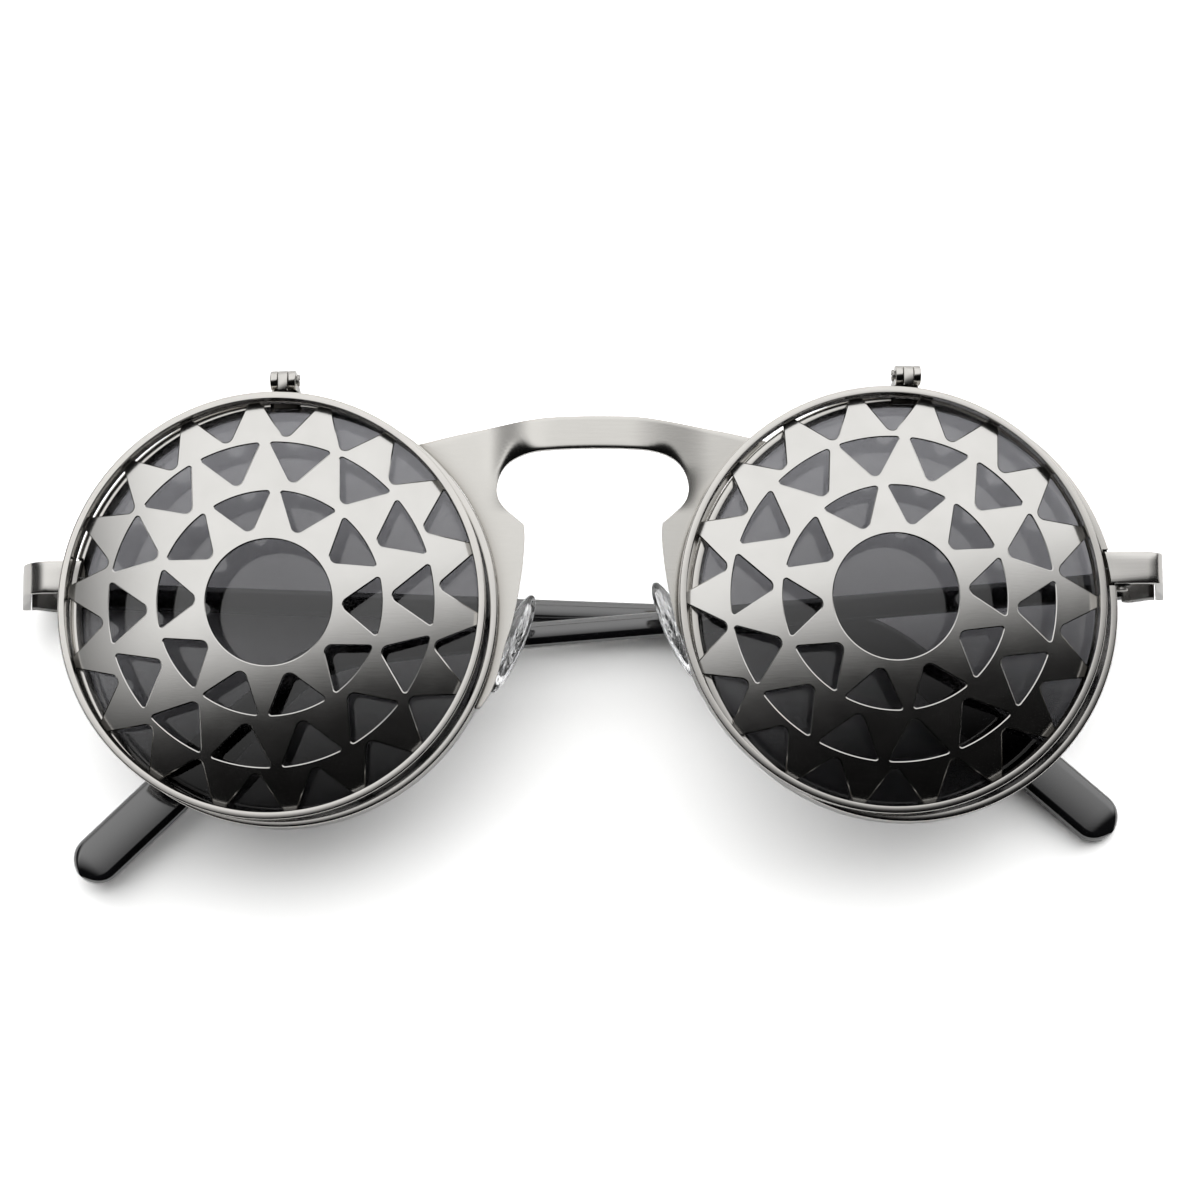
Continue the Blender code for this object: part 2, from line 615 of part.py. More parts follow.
def build_cover_ring(side, name, cover, centre):
    inner = COVER_RADIUS - COVER_FACE
    low = COVER_LIFT
    high = COVER_LIFT + COVER_DEPTH
    profile = ((COVER_RADIUS, low + COVER_CHAMFER), (COVER_RADIUS, high - COVER_CHAMFER),
               (COVER_RADIUS - COVER_CHAMFER, high), (inner, high), (inner, low + LEDGE_DEPTH),
               (inner - LEDGE_WIDTH, low + LEDGE_DEPTH), (inner - LEDGE_WIDTH, low),
               (COVER_RADIUS - COVER_CHAMFER, low))
    mesh = turned(profile, COVER_STEPS)
    bmesh.ops.translate(mesh, verts=mesh.verts, vec=centre)
    make_object(name + "_cover_ring", mesh, cover, STEEL, side)


def rotated(points, angle):
    cosine = math.cos(angle)
    sine = math.sin(angle)
    return [(x * cosine - y * sine, x * sine + y * cosine) for x, y in points]


def petal_side(apex, arc, count, web):
    """Half angle of a petal's corners, and the slope of the side that touches its apex round."""
    half = math.pi / count - math.asin(web / 2 / arc)
    reach = Vector((arc * math.cos(half) - apex - APEX_ROUND, arc * math.sin(half)))
    return half, math.atan2(reach.y, reach.x) - math.asin(APEX_ROUND / reach.length)


def petal(apex, arc, count, web):
    """A hole along the X axis: a round apex inside, a concentric arc with round corners outside."""
    slope = petal_side(apex, arc, count, web)[1]
    along = Vector((math.cos(slope), math.sin(slope)))
    normal = Vector((-along.y, along.x))
    start = Vector((apex + APEX_ROUND, 0.0)) + normal * (APEX_ROUND - CORNER_ROUND)
    reach = arc - CORNER_ROUND
    run = start.dot(along)
    corner = start + along * (math.sqrt(run * run + reach * reach - start.length_squared) - run)
    turn = math.atan2(corner.y, corner.x)
    square = slope + math.pi / 2
    points = circle((0.0, 0.0), arc, ARC_STEPS, -turn, turn * 2)
    points += circle(corner, CORNER_ROUND, CORNER_STEPS, turn, square - turn)[1:]
    points += circle((apex + APEX_ROUND, 0.0), APEX_ROUND, APEX_STEPS, square,
                     (math.pi - square) * 2)
    points += circle((corner.x, -corner.y), CORNER_ROUND, CORNER_STEPS, -square, square - turn)[:-1]
    return points


def teeth():
    """The sheet's outer outline: teeth with flat tips, and round-bottomed gaps between them."""
    gap = SUN_RADIUS * TOOTH_ROOT_SHARE
    half, slope = petal_side(gap, SUN_RADIUS, TOOTH_COUNT, TOOTH_TIP)
    square = slope + math.pi / 2
    root = circle((gap + APEX_ROUND, 0.0), APEX_ROUND, APEX_STEPS, -square,
                  (square - math.pi) * 2)
    pitch = math.tau / TOOTH_COUNT
    tip = circle((0.0, 0.0), SUN_RADIUS, TIP_STEPS, half, pitch - half * 2)
    return [point for index in range(TOOTH_COUNT)
            for point in rotated(root + tip, pitch * index)]


def build_sunburst(side, name, cover, centre, angle):
    """A pierced sheet, domed outward, whose teeth stand on the ring's ledge."""
    loops = [teeth(), circle((0.0, 0.0), SUN_RADIUS * SUN_EYE_SHARE, SUN_EYE_STEPS)]
    rows = ((INNER_ROW_COUNT, INNER_ROW_SHARES, INNER_ROW_WEB),
            (OUTER_ROW_COUNT, OUTER_ROW_SHARES, OUTER_ROW_WEB))
    for count, (apex_share, arc_share), web in rows:
        shape = petal(SUN_RADIUS * apex_share, SUN_RADIUS * arc_share, count, web)
        loops += [rotated(shape, math.tau * index / count) for index in range(count)]
    seat = COVER_LIFT + LEDGE_DEPTH + SEAT_GAP
    mesh = slab([rotated(loop, angle) for loop in loops], seat, seat + SUN_THICKNESS)
    fall = math.sqrt(SUN_CURVE * SUN_CURVE - SUN_RADIUS * SUN_RADIUS)
    for vertex in mesh.verts:
        away = vertex.co.xy.length
        vertex.co.z += math.sqrt(SUN_CURVE * SUN_CURVE - away * away) - fall
    bmesh.ops.translate(mesh, verts=mesh.verts, vec=centre)
    make_object(name + "_sunburst", mesh, cover, STEEL, side)


def build_cover(side, name, seat, shift, angle):
    """One flip cover, hung on its hinge axis."""
    height, level = flip_axis()
    cover = make_empty(name + "_cover_axis", seat, (0.0, height, level))
    centre = (shift, COVER_RAISE - height, -level)
    build_cover_ring(side, name, cover, centre)
    build_sunburst(side, name, cover, centre, angle)
    build_flip_tongue(side, name, cover)


def pad_box_sizes():
    """Half width inside and outside, and the inner and outer face of the back wall."""
    inside = PAD_LUG_WIDTH / 2 + SIDE_GAP
    swing = PAD_LUG_REACH * math.cos(PAD_ROCK) + PAD_LUG_LENGTH / 2 * math.sin(PAD_ROCK)
    back = swing + SEAT_GAP
    return inside, inside + PAD_BOX_WALL, back, back + PAD_BOX_WALL


def pad_frame():
    """The right pad's frame in the front's frame: at its screw, turned towards the nose."""
    return Euler((0.0, -PAD_FLARE, PAD_SPLAY))


def at_pad_height(name, point):
    """A point beside the pads, for the height at which this side's wire is bent."""
    return Vector((point[0], point[1] + PAD_LIFT[name], point[2]))


def build_pad(side, name, pivot):
    """A lens-shaped cushion with a lug that the screw goes through."""
    mesh = bmesh.new()
    bmesh.ops.create_uvsphere(mesh, u_segments=PAD_STEPS, v_segments=PAD_RINGS, radius=1.0)
    bmesh.ops.scale(mesh, vec=(PAD_THICKNESS / 2, PAD_LENGTH / 2, PAD_WIDTH / 2), verts=mesh.verts)
    bmesh.ops.translate(mesh, verts=mesh.verts, vec=(-PAD_OFFSET, 0.0, 0.0))
    made = make_object(name + "_pad", mesh, pivot, PAD_CLEAR, side)
    half_length = PAD_LUG_LENGTH / 2
    half_width = PAD_LUG_WIDTH / 2
    lug = block(-PAD_OFFSET, PAD_LUG_REACH, -half_length, half_length, -half_width, half_width)
    combine(made, name + "_pad_lug", lug, "UNION", side)
    bore = knuckle((0.0, 0.0), PAD_SCREW_RADIUS + RUNNING_GAP)
    cut(made, name + "_pad_bore", slab([bore], -PAD_WIDTH, PAD_WIDTH), side)


def build_pad_box(side, name, fixed):
    inside, outside, back_inner, back_outer = pad_box_sizes()
    shape = [(-outside, -PAD_BOX_REACH), (-outside, back_outer), (outside, back_outer),
             (outside, -PAD_BOX_REACH), (inside, -PAD_BOX_REACH), (inside, back_inner),
             (-inside, back_inner), (-inside, -PAD_BOX_REACH)]
    half = PAD_BOX_LENGTH / 2
    made = make_object(name + "_pad_box", slab([shape], -half, half, "ZX"), fixed, STEEL, side)
    bore = knuckle((0.0, 0.0), PAD_SCREW_RADIUS + RUNNING_GAP)
    cut(made, name + "_pad_box_bore", slab([bore], -outside - OVERRUN, outside + OVERRUN), side)
    place = Matrix.Translation((0.0, 0.0, outside + SEAT_GAP))
    sizes = (PAD_SCREW_RADIUS, PAD_SCREW_HEAD_RADIUS, PAD_SCREW_HEAD_HEIGHT)
    build_screw(side, name + "_pad_screw", fixed, place, sizes, outside * 2 + SEAT_GAP)


def smooth_route(points, steps):
    """Points on a smooth curve through the given ones."""
    ends = [points[0] * 2 - points[1]] + points + [points[-1] * 2 - points[-2]]
    route = []
    for before, first, second, after in zip(ends, ends[1:], ends[2:], ends[3:]):
        for index in range(steps):
            share = index / steps
            pull_in = (second - before) / 2
            pull_out = (after - first) / 2
            gap = second - first
            route.append(first + pull_in * share + (gap * 3 - pull_in * 2 - pull_out) * share ** 2
                         + (pull_in + pull_out - gap * 2) * share ** 3)
    return route + [points[-1]]


def build_pad_arm(side, name, front):
    """A bent wire from the rim's back, in a loop past the pad, to the back of its box."""
    radius = (RIM_RADIUS + RIM_LIP_RADIUS) / 2
    foot = (radius * math.cos(PAD_ARM_ANGLE), radius * math.sin(PAD_ARM_ANGLE))
    root = eye_to_front((foot[0], foot[1], -RIM_DEPTH - SEAT_GAP))
    below = eye_to_front((foot[0], foot[1], -RIM_DEPTH - SEAT_GAP - PAD_ARM_DROP))
    centre = at_pad_height(name, PAD_CENTRE)
    place = Matrix.Translation(centre) @ pad_frame().to_matrix().to_4x4()
    back = pad_box_sizes()[3] + SEAT_GAP
    end = place @ Vector((back, 0.0, 0.0))
    before_end = place @ Vector((back + PAD_ARM_STUB, 0.0, 0.0))
    bends = [at_pad_height(name, point) for point in (PAD_ARM_TOP, PAD_ARM_LOOP, PAD_ARM_RETURN)]
    stops = [root, below] + bends + [before_end, end]
    route = smooth_route(stops, PAD_ARM_STEPS)
    data = bpy.data.curves.new(name + "_pad_arm", "CURVE")
    data.dimensions = "3D"
    data.bevel_depth = PAD_ARM_RADIUS
    data.bevel_resolution = PAD_ARM_BEVEL_STEPS
    data.use_fill_caps = True
    spline = data.splines.new("POLY")
    spline.points.add(len(route) - 1)
    for point, place in zip(spline.points, route):
        point.co = (place.x * side, place.y, place.z, 1.0)
    made = bpy.data.objects.new(name + "_pad_arm", data)
    made.parent = front
    data.materials.append(make_material(name + "_pad_arm", STEEL))
    bpy.context.collection.objects.link(made)


def touch_angle(centre, radius, point, hand):
    """Direction from a circle's centre to where the line from an outer point touches it."""
    away = Vector(point) - Vector(centre)
    return math.atan2(away.y, away.x) + hand * math.acos(radius / away.length)


def build_front_hinge(side, name, eye):
    """A base on the end piece's leg, with two barrels that take the temple's one between them."""
    x, y, z = hinge_axis()
    radius = HINGE_BARREL_RADIUS
    rear = -END_LEG + HINGE_BASE_SETBACK
    front = rear + HINGE_BASE_LENGTH

    def inner_face(level):
        return leg_inner(level) - SEAT_GAP - HINGE_BASE_THICKNESS

    first = touch_angle((z, x), radius, (rear, inner_face(rear)), 1.0)
    last = touch_angle((z, x), radius, (front, inner_face(front)), -1.0) + math.tau
    shape = [(front, inner_face(front)), (front, leg_inner(front) - SEAT_GAP),
             (rear, leg_inner(rear) - SEAT_GAP), (rear, inner_face(rear))]
    shape += knuckle((z, x), radius, first, last - first)
    half = HINGE_HEIGHT / 2
    made = make_object(name + "_front_hinge", slab([shape], y - half, y + half, "ZX"), eye, STEEL,
                       side)
    half_slot = HINGE_TEMPLE_BARREL / 2 + SIDE_GAP
    low = z - radius - OVERRUN
    high = front + OVERRUN
    near = x - radius - OVERRUN
    slot = [(low, near), (high, near), (high, inner_face(high)), (low, inner_face(low))]
    cut(made, name + "_hinge_slot", slab([slot], y - half_slot, y + half_slot, "ZX"), side)
    bore = knuckle((z, x), HINGE_SCREW_RADIUS + RUNNING_GAP)
    cut(made, name + "_hinge_bore", slab([bore], y - half - OVERRUN, y + half + OVERRUN, "ZX"),
        side)
    place = (Matrix.Translation((x, y + half + SEAT_GAP, z))
             @ Matrix.Rotation(-math.pi / 2, 4, "X"))
    sizes = (HINGE_SCREW_RADIUS, HINGE_HEAD_RADIUS, HINGE_HEAD_HEIGHT)
    build_screw(side, name + "_hinge_screw", eye, place, sizes, HINGE_HEIGHT + SEAT_GAP)


def build_core(side, name, temple, droop):
    """Barrel, short arm and long wire in one piece, cut from strip."""
    half = CORE_THICKNESS / 2
    radius = HINGE_BARREL_RADIUS
    open_angle = math.pi - math.asin(half / radius)
    low = -TEMPLE_OFFSET - half
    high = -TEMPLE_OFFSET + half
    shape = knuckle((0.0, 0.0), radius, -open_angle, open_angle * 2)
    shape += [(low + CORE_CHAMFER, half), (low, half - CORE_CHAMFER), (low, -CORE_LENGTH),
              (high, -CORE_LENGTH), (high, -half)]
    bore = knuckle((0.0, 0.0), HINGE_SCREW_RADIUS + RUNNING_GAP)
    mesh = slab([shape, bore], -HINGE_TEMPLE_BARREL / 2, HINGE_TEMPLE_BARREL / 2, "ZX")
    for vertex in mesh.verts:
        if vertex.co.x < -TEMPLE_OFFSET:
            vertex.co.y += vertex.co.x * math.tan(droop)
    make_object(name + "_temple_core", mesh, temple, STEEL, side)


def temple_point(along, droop):
    """Centre line of a folded temple: its point at a length from the hinge, and its direction."""
    bend = TEMPLE_BEND_RADIUS * TEMPLE_BEND
    straight = min(along, TEMPLE_STRAIGHT)
    turn = droop + min(max(along - TEMPLE_STRAIGHT, 0.0), bend) / TEMPLE_BEND_RADIUS
    last = max(along - TEMPLE_STRAIGHT - bend, 0.0)
    x = (straight * math.cos(droop) + last * math.cos(turn)
         + TEMPLE_BEND_RADIUS * (math.sin(turn) - math.sin(droop)))
    y = (straight * math.sin(droop) + last * math.sin(turn)
         + TEMPLE_BEND_RADIUS * (math.cos(droop) - math.cos(turn)))
    return Vector((-x, -y, -TEMPLE_OFFSET)), turn


def temple_height(share):
    """Height of the temple at a share of its length."""
    for (start, low), (end, high) in zip(TEMPLE_HEIGHT_SHARES, TEMPLE_HEIGHT_SHARES[1:]):
        if share <= end:
            return low + (high - low) * smooth_step((share - start) / (end - start))
    return TEMPLE_TIP_HEIGHT


def temple_sections():
    """Length and height of each section: along the arm, then round the tip."""
    round_start = TEMPLE_LENGTH - TEMPLE_TIP_HEIGHT / 2
    reach = round_start - TEMPLE_BUTT
    sections = [(TEMPLE_BUTT + reach * share, temple_height(share))
                for share in TEMPLE_STATION_SHARES]
    for index in range(TEMPLE_TIP_STEPS):
        turn = math.pi / 2 * index / TEMPLE_TIP_STEPS
        sections.append((round_start + TEMPLE_TIP_HEIGHT / 2 * math.sin(turn),
                         TEMPLE_TIP_HEIGHT * math.cos(turn)))
    return sections


def build_temple(side, name, temple, droop):
    """A flat-faced arm with bevelled edges, straight, then bent down to its round tip."""
    mesh = bmesh.new()
    half_depth = TEMPLE_THICKNESS / 2
    rows = []
    for along, height in temple_sections():
        centre, turn = temple_point(along, droop)
        up = Vector((-math.sin(turn), math.cos(turn), 0.0))
        edge = min(TEMPLE_EDGE, height / 2)
        flat = height / 2 - edge
        outline = ((height / 2, half_depth - edge), (flat, half_depth), (-flat, half_depth),
                   (-height / 2, half_depth - edge), (-height / 2, edge - half_depth),
                   (-flat, -half_depth), (flat, -half_depth), (height / 2, edge - half_depth))
        rows.append([mesh.verts.new(centre + up * rise + Vector((0.0, 0.0, out)))
                     for rise, out in outline])
    for first, second in zip(rows, rows[1:]):
        for index in range(len(first)):
            mesh.faces.new((first[index - 1], first[index], second[index], second[index - 1]))
    mesh.faces.new(rows[0])
    mesh.faces.new(rows[-1])
    bmesh.ops.remove_doubles(mesh, verts=mesh.verts, dist=MERGE)
    bmesh.ops.recalc_face_normals(mesh, faces=mesh.faces)
    made = make_object(name + "_temple", mesh, temple, TEMPLE_BLACK, side)
    half_wire = CORE_THICKNESS / 2 + CORE_GAP
    half_strip = HINGE_TEMPLE_BARREL / 2 + CORE_GAP
    channel = block(-CORE_LENGTH - CORE_GAP, OVERRUN, -half_strip, half_strip,
                    -TEMPLE_OFFSET - half_wire, -TEMPLE_OFFSET + half_wire)
    for vertex in channel.verts:
        vertex.co.y += vertex.co.x * math.tan(droop)
    cut(made, name + "_core_channel", channel, side)


def build_side(name, side, front, flip_shift, cover_shift, sun_angle, tilt, droop):
    """Everything on one side of the bridge."""
    x, y, z = eye_offset()
    eye = make_empty(name + "_eye", front, (x * side, y, z), (0.0, WRAP * side, 0.0))
    build_rim(side, name, eye, flip_shift)
    build_lens(side, name, eye)
    build_end_piece(side, name, eye)
    build_closing_blocks(side, name, eye)
    seat = make_empty(name + "_flip_seat", eye, (flip_shift * side, 0.0, 0.0))
    build_flip_clevis(side, name, seat)
    build_cover(side, name, seat, cover_shift, sun_angle)
    build_front_hinge(side, name, eye)
    turn = pad_frame()
    x, y, z = at_pad_height(name, PAD_CENTRE)
    place = (x * side, y, z)
    rotation = (turn.x, turn.y * side, turn.z * side)
    build_pad(side, name, make_empty(name + "_pad_axis", front, place, rotation))
    build_pad_box(side, name, make_empty(name + "_pad_seat", front, place, rotation))
    build_pad_arm(side, name, front)
    x, y, z = eye_to_front(hinge_axis())
    temple = make_empty(name + "_temple_axis", front, (x * side, y, z), (0.0, tilt, 0.0))
    build_core(side, name, temple, droop)
    build_temple(side, name, temple, droop)


def settle(root):
    """Centre the model over the origin, with its lowest point on the table."""
    bpy.context.view_layer.update()
    view = bpy.context.evaluated_depsgraph_get()
    points = []
    for item in bpy.data.objects:
        if item.type == "EMPTY" or item.hide_render:
            continue
        shape = item.evaluated_get(view)
        data = shape.to_mesh()
        points += [shape.matrix_world @ vertex.co for vertex in data.vertices]
        shape.to_mesh_clear()
    low = [min(point[axis] for point in points) for axis in range(3)]
    high = [max(point[axis] for point in points) for axis in range(3)]
    root.location = (-(low[0] + high[0]) / 2, -(low[1] + high[1]) / 2, -low[2])
    bpy.context.view_layer.update()


def main():
    clear_objects()
    root = make_empty("sunglasses")
    front = make_empty("front", root, rotation=(0.0, -FRONT_TILT, 0.0))
    build_bridge(front)
    build_side("right", 1.0, front, RIGHT_FLIP_SHIFT, RIGHT_COVER_SHIFT, RIGHT_SUN_ANGLE,
               FIRST_TEMPLE_TILT, RIGHT_TEMPLE_DROOP)
    build_side("left", -1.0, front, LEFT_FLIP_SHIFT, LEFT_COVER_SHIFT, LEFT_SUN_ANGLE,
               FRONT_TILT, LEFT_TEMPLE_DROOP)
    settle(root)


main()
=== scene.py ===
"""The round flip-up sunglasses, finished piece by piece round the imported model.

Shapes are made for the right side in millimetres, each in its own place's frame, then set into
the object's frame in metres; the left side is their mirror image.
"""

import json
import math

import bmesh
import bpy
from mathutils import Euler, Matrix, Vector


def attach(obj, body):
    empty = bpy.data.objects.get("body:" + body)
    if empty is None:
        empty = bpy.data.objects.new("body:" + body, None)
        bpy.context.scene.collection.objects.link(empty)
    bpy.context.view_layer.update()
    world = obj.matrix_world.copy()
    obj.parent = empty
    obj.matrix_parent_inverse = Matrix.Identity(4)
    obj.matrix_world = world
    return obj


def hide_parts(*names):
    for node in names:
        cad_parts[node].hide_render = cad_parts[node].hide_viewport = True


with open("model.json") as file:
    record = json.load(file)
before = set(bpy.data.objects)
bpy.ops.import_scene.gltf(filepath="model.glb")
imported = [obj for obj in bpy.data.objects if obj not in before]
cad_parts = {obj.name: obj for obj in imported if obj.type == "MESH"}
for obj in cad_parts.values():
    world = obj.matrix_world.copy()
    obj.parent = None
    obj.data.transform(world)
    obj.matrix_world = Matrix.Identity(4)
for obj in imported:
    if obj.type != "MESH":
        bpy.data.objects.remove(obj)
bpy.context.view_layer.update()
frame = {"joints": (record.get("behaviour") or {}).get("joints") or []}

MM = 0.001
SIDES = {"right": Matrix.Identity(4), "left": Matrix.Diagonal((-1.0, 1.0, 1.0, 1.0))}

# Clearances: where a piece sits on another, and beside one that turns or is split
SEAT_GAP, SIDE_GAP = 0.12, 0.06

# The frame front
HALF_GAP = 12.0
WRAP = math.radians(4.75)
FRONT_TILT = math.radians(2.0)
RIM, RIM_DEPTH = 27.0, 3.0
LIP = 25.6
GROOVE = LIP + 0.55
NOTCH = 1.17
PLATE_DROP = 1.25

# The end pieces, the blocks that close the rims behind them, and the temples' hinges
END_LEVEL, END_HALF = 5.0, 2.0
END_CORNER, END_START = RIM + 5.8, RIM - 0.6
STRIP, LEG_END = 1.05, -12.5
SPLAY = math.radians(12.2)
BLOCK, BLIND_BORE = 2.115, 1.815
CLOSING_X, CLOSING_Z = RIM + SEAT_GAP + 0.8, -(NOTCH + RIM_DEPTH) / 2
HINGE_RADIUS, HINGE_BORE, HINGE_HALF = 1.0, 0.49, 2.5

# The flip covers
COVER, COVER_FACE, COVER_DEPTH = 26.9, 0.9, 2.5
COVER_LIFT, COVER_RAISE = 0.28, 0.65
COVER_SHIFT = {"right": -2.35, "left": 1.5}
FLIP_SHIFT = {"right": 0.6, "left": -0.4}
KNUCKLE, PIN_BORE = 1.25, 0.52
TONGUE_HALF, CLEVIS_HALF = 0.6, 1.61
FLIP_RISE = 1.5
FLIP_HEIGHT = COVER_RAISE + COVER + FLIP_RISE
FLIP_LEVEL = COVER_LIFT + COVER_DEPTH - KNUCKLE

# The sunbursts
SUN, SHEET, SUN_CURVE = 25.9, 0.5, 93.0
SUN_TURN = {"right": math.radians(-30.5), "left": math.radians(-105.0)}
SUN_SEAT = COVER_LIFT + 0.35
TEETH, INNER_PETALS, OUTER_PETALS = 18, 10, 14
HOLE_NOSE = 0.9
EDGE_BREAK = 0.12

# The nose pads
PAD_CENTRE = Vector((12.4, -2.0, -6.6))
PAD_LIFT = {"right": 0.75, "left": -0.75}
PAD_OFFSET = 2.4
PAD_TURN = Euler((0.0, -math.radians(23.0), math.radians(23.0)))
PAD_ROCK = math.radians(8.0)
PAD_BORE = 0.37
LUG_HALF, LUG_RISE = 0.5, 0.8
BOX_INSIDE = LUG_HALF + SIDE_GAP
BOX_WALL = 0.35
BOX_FLOOR = LUG_HALF * math.cos(PAD_ROCK) + LUG_RISE * math.sin(PAD_ROCK) + SEAT_GAP

# The temples
ARM_TILT = {"right": math.radians(0.9), "left": -FRONT_TILT}
ARM_DROOP = {"right": math.radians(4.4), "left": math.radians(2.3)}
TEMPLE_LENGTH, TEMPLE_STRAIGHT, BEND_RADIUS = 145.7, 97.5, 20.0
BEND = math.radians(38.7)
TEMPLE_OFFSET = 2.9
TEMPLE_HEIGHTS = ((0.0, 3.6), (0.12, 3.3), (0.55, 3.3), (0.72, 4.3), (0.93, 6.4), (1.0, 6.4))

# Places


def joint_point(name):
    """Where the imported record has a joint, in millimetres."""
    return next(Vector(joint["pos_m"]) / MM for joint in frame["joints"] if joint["name"] == name)


def shift(x, y, z):
    return Matrix.Translation((x, y, z))


def at_pad_height(name, point):
    """A point beside the pads, for the height at which this side's wire is bent."""
    return Vector(point) + Vector((0.0, PAD_LIFT[name], 0.0))


front_turn = Matrix.Rotation(-FRONT_TILT, 4, "Y")
front_place = Matrix.Translation(
    joint_point("right_pad_rock") - front_turn @ at_pad_height("right", PAD_CENTRE)) @ front_turn
eye_turned = shift(HALF_GAP + RIM * math.cos(WRAP), 0.0, -RIM * math.sin(WRAP)) \
    @ Matrix.Rotation(WRAP, 4, "Y")


def leg_inside(level):
    """Inner face of the end piece's leg at a level behind the rim's face."""
    return END_CORNER - STRIP / math.cos(SPLAY) - level * math.tan(SPLAY)


hinge_x, hinge_y, hinge_z = leg_inside(LEG_END) - 3.2, END_LEVEL, -13.5
arm_root = eye_turned @ Vector((hinge_x, hinge_y, hinge_z))


def pad_seat(name):
    """A pad's own frame, at its screw and turned towards the nose."""
    return Matrix.Translation(at_pad_height(name, PAD_CENTRE)) @ PAD_TURN.to_matrix().to_4x4()


def place_for(name, where):
    """The matrix that takes a right-hand shape, made in its own frame, to where it goes."""
    inside = {
        "front": Matrix.Identity(4),
        "eye": eye_turned,
        "flip": eye_turned @ shift(FLIP_SHIFT[name], 0.0, 0.0),
        "pad": pad_seat(name),
        "arm": Matrix.Translation(arm_root) @ Matrix.Rotation(ARM_TILT[name], 4, "Y"),
    }[where]
    return Matrix.Scale(MM, 4) @ front_place @ SIDES[name] @ inside


def cover_place(name):
    """The middle of a flip cover, which sits a little off its rim's centre."""
    return place_for(name, "flip") @ shift(COVER_SHIFT[name], COVER_RAISE, 0.0)


# Nodes


def feed(tree, socket, value):
    """Set a socket to a number, or link it to a socket or to a node's first output."""
    if isinstance(value, bpy.types.Node):
        value = value.outputs[0]
    if isinstance(value, bpy.types.NodeSocket):
        tree.links.new(value, socket)
    else:
        socket.default_value = value


def add_node(tree, kind, values=None, **settings):
    made = tree.nodes.new(kind)
    for key, value in settings.items():
        setattr(made, key, value)
    for key, value in (values or {}).items():
        feed(tree, made.inputs[key], value)
    return made


def calculate(tree, operation, *operands):
    made = add_node(tree, "ShaderNodeMath", dict(enumerate(operands)), operation=operation)
    return made.outputs[0]


def spread(tree, value, low, high, start=0.3, end=0.7, kind="LINEAR"):
    """A value that goes from low to high as another one goes from start to end."""
    made = add_node(tree, "ShaderNodeMapRange", {"Value": value, "From Min": start, "From Max": end,
                                                 "To Min": low, "To Max": high},
                    interpolation_type=kind)
    return made.outputs["Result"]


def upright(tree, size):
    """A vector along Z, or the angles of a turn about Z."""
    return add_node(tree, "ShaderNodeCombineXYZ", {"Z": size})


# Finishes


def new_finish(name):
    made = bpy.data.materials.new(name)
    made.use_nodes = True
    return made, made.node_tree


def dress(tree, values):
    """Give a finish's shader its values."""
    shader = tree.nodes["Principled BSDF"]
    for key, value in values.items():
        feed(tree, shader.inputs[key], value)


def grain(tree, stretch, detail=2.0):
    """Noise over the piece's own coordinates, stretched along the axes with low numbers."""
    place = add_node(tree, "ShaderNodeTexCoord")
    mapping = add_node(tree, "ShaderNodeMapping",
                       {"Vector": place.outputs["Object"], "Scale": stretch})
    noise = add_node(tree, "ShaderNodeTexNoise",
                     {"Vector": mapping, "Scale": 1.0, "Detail": detail})
    return noise.outputs["Fac"]


def two_tone(tree, value, first, second):
    """One colour where a noise is low, another where it is high."""
    made = add_node(tree, "ShaderNodeValToRGB", {"Fac": value})
    for element, position, colour in zip(made.color_ramp.elements, (0.3, 0.7), (first, second)):
        element.position, element.color = position, (*colour, 1.0)
    return made.outputs["Color"]


def relief(tree, value, depth):
    """Fine relief of a depth in millimetres."""
    return add_node(tree, "ShaderNodeBump",
                    {"Strength": 1.0, "Distance": depth * MM, "Height": value})


def metal(name, bright, dull, roughness, lines, depth, stain_and_shade="", tint=(), share=1.0):
    """Metal with drawn or brushed lines and cloudy patches, tinted where a point mark says; the
    marks carry painted shade and a solder seam's heat tint.
    """
    made, tree = new_finish(name)
    brushed = grain(tree, lines)
    cloud = grain(tree, (260.0, 260.0, 260.0), 3.0)
    colour = two_tone(tree, cloud, dull, bright)
    if stain_and_shade:
        stain_and_shade_value = add_node(tree, "ShaderNodeAttribute", attribute_name=stain_and_shade)
        amount = calculate(tree, "MULTIPLY", stain_and_shade_value.outputs["Fac"], share)
        tinted = add_node(tree, "ShaderNodeMix", {0: amount, 6: colour, 7: (*tint, 1.0)},
                          data_type="RGBA")
        colour = tinted.outputs[2]
    gloss = calculate(tree, "MULTIPLY_ADD", brushed, 0.5, cloud)
    dress(tree, {"Metallic": 1.0, "Base Color": colour,
                 "Roughness": spread(tree, gloss, roughness * 0.93, roughness * 1.08, 0.5, 1.0),
                 "Normal": relief(tree, brushed, depth)})
    return made


def lens_glass(name):
    """Grey tinted lens, with the tint darkened towards its foot as painted shade, and the faintest
    unevenness of its coat.
    """
    made, tree = new_finish(name)
    coat = grain(tree, (120.0, 120.0, 120.0))
    place = add_node(tree, "ShaderNodeTexCoord")
    height = add_node(tree, "ShaderNodeSeparateXYZ", {0: place.outputs["Object"]})
    # Painted shade: the tint falls to a sixth towards the lens's foot, standing in for the table's
    # shadow seen through it.
    tint = add_node(tree, "ShaderNodeVectorMath",
                    {0: two_tone(tree, coat, (0.106, 0.106, 0.114), (0.114, 0.114, 0.122)),
                     "Scale": spread(tree, height.outputs["Y"], 0.16, 1.0, -0.019, 0.0,
                                     "SMOOTHSTEP")}, operation="SCALE")
    dress(tree, {"Transmission Weight": 1.0, "IOR": 1.65, "Base Color": tint,
                 "Roughness": spread(tree, coat, 0.0, 0.03),
                 "Normal": relief(tree, coat, 0.0007)})
    return made


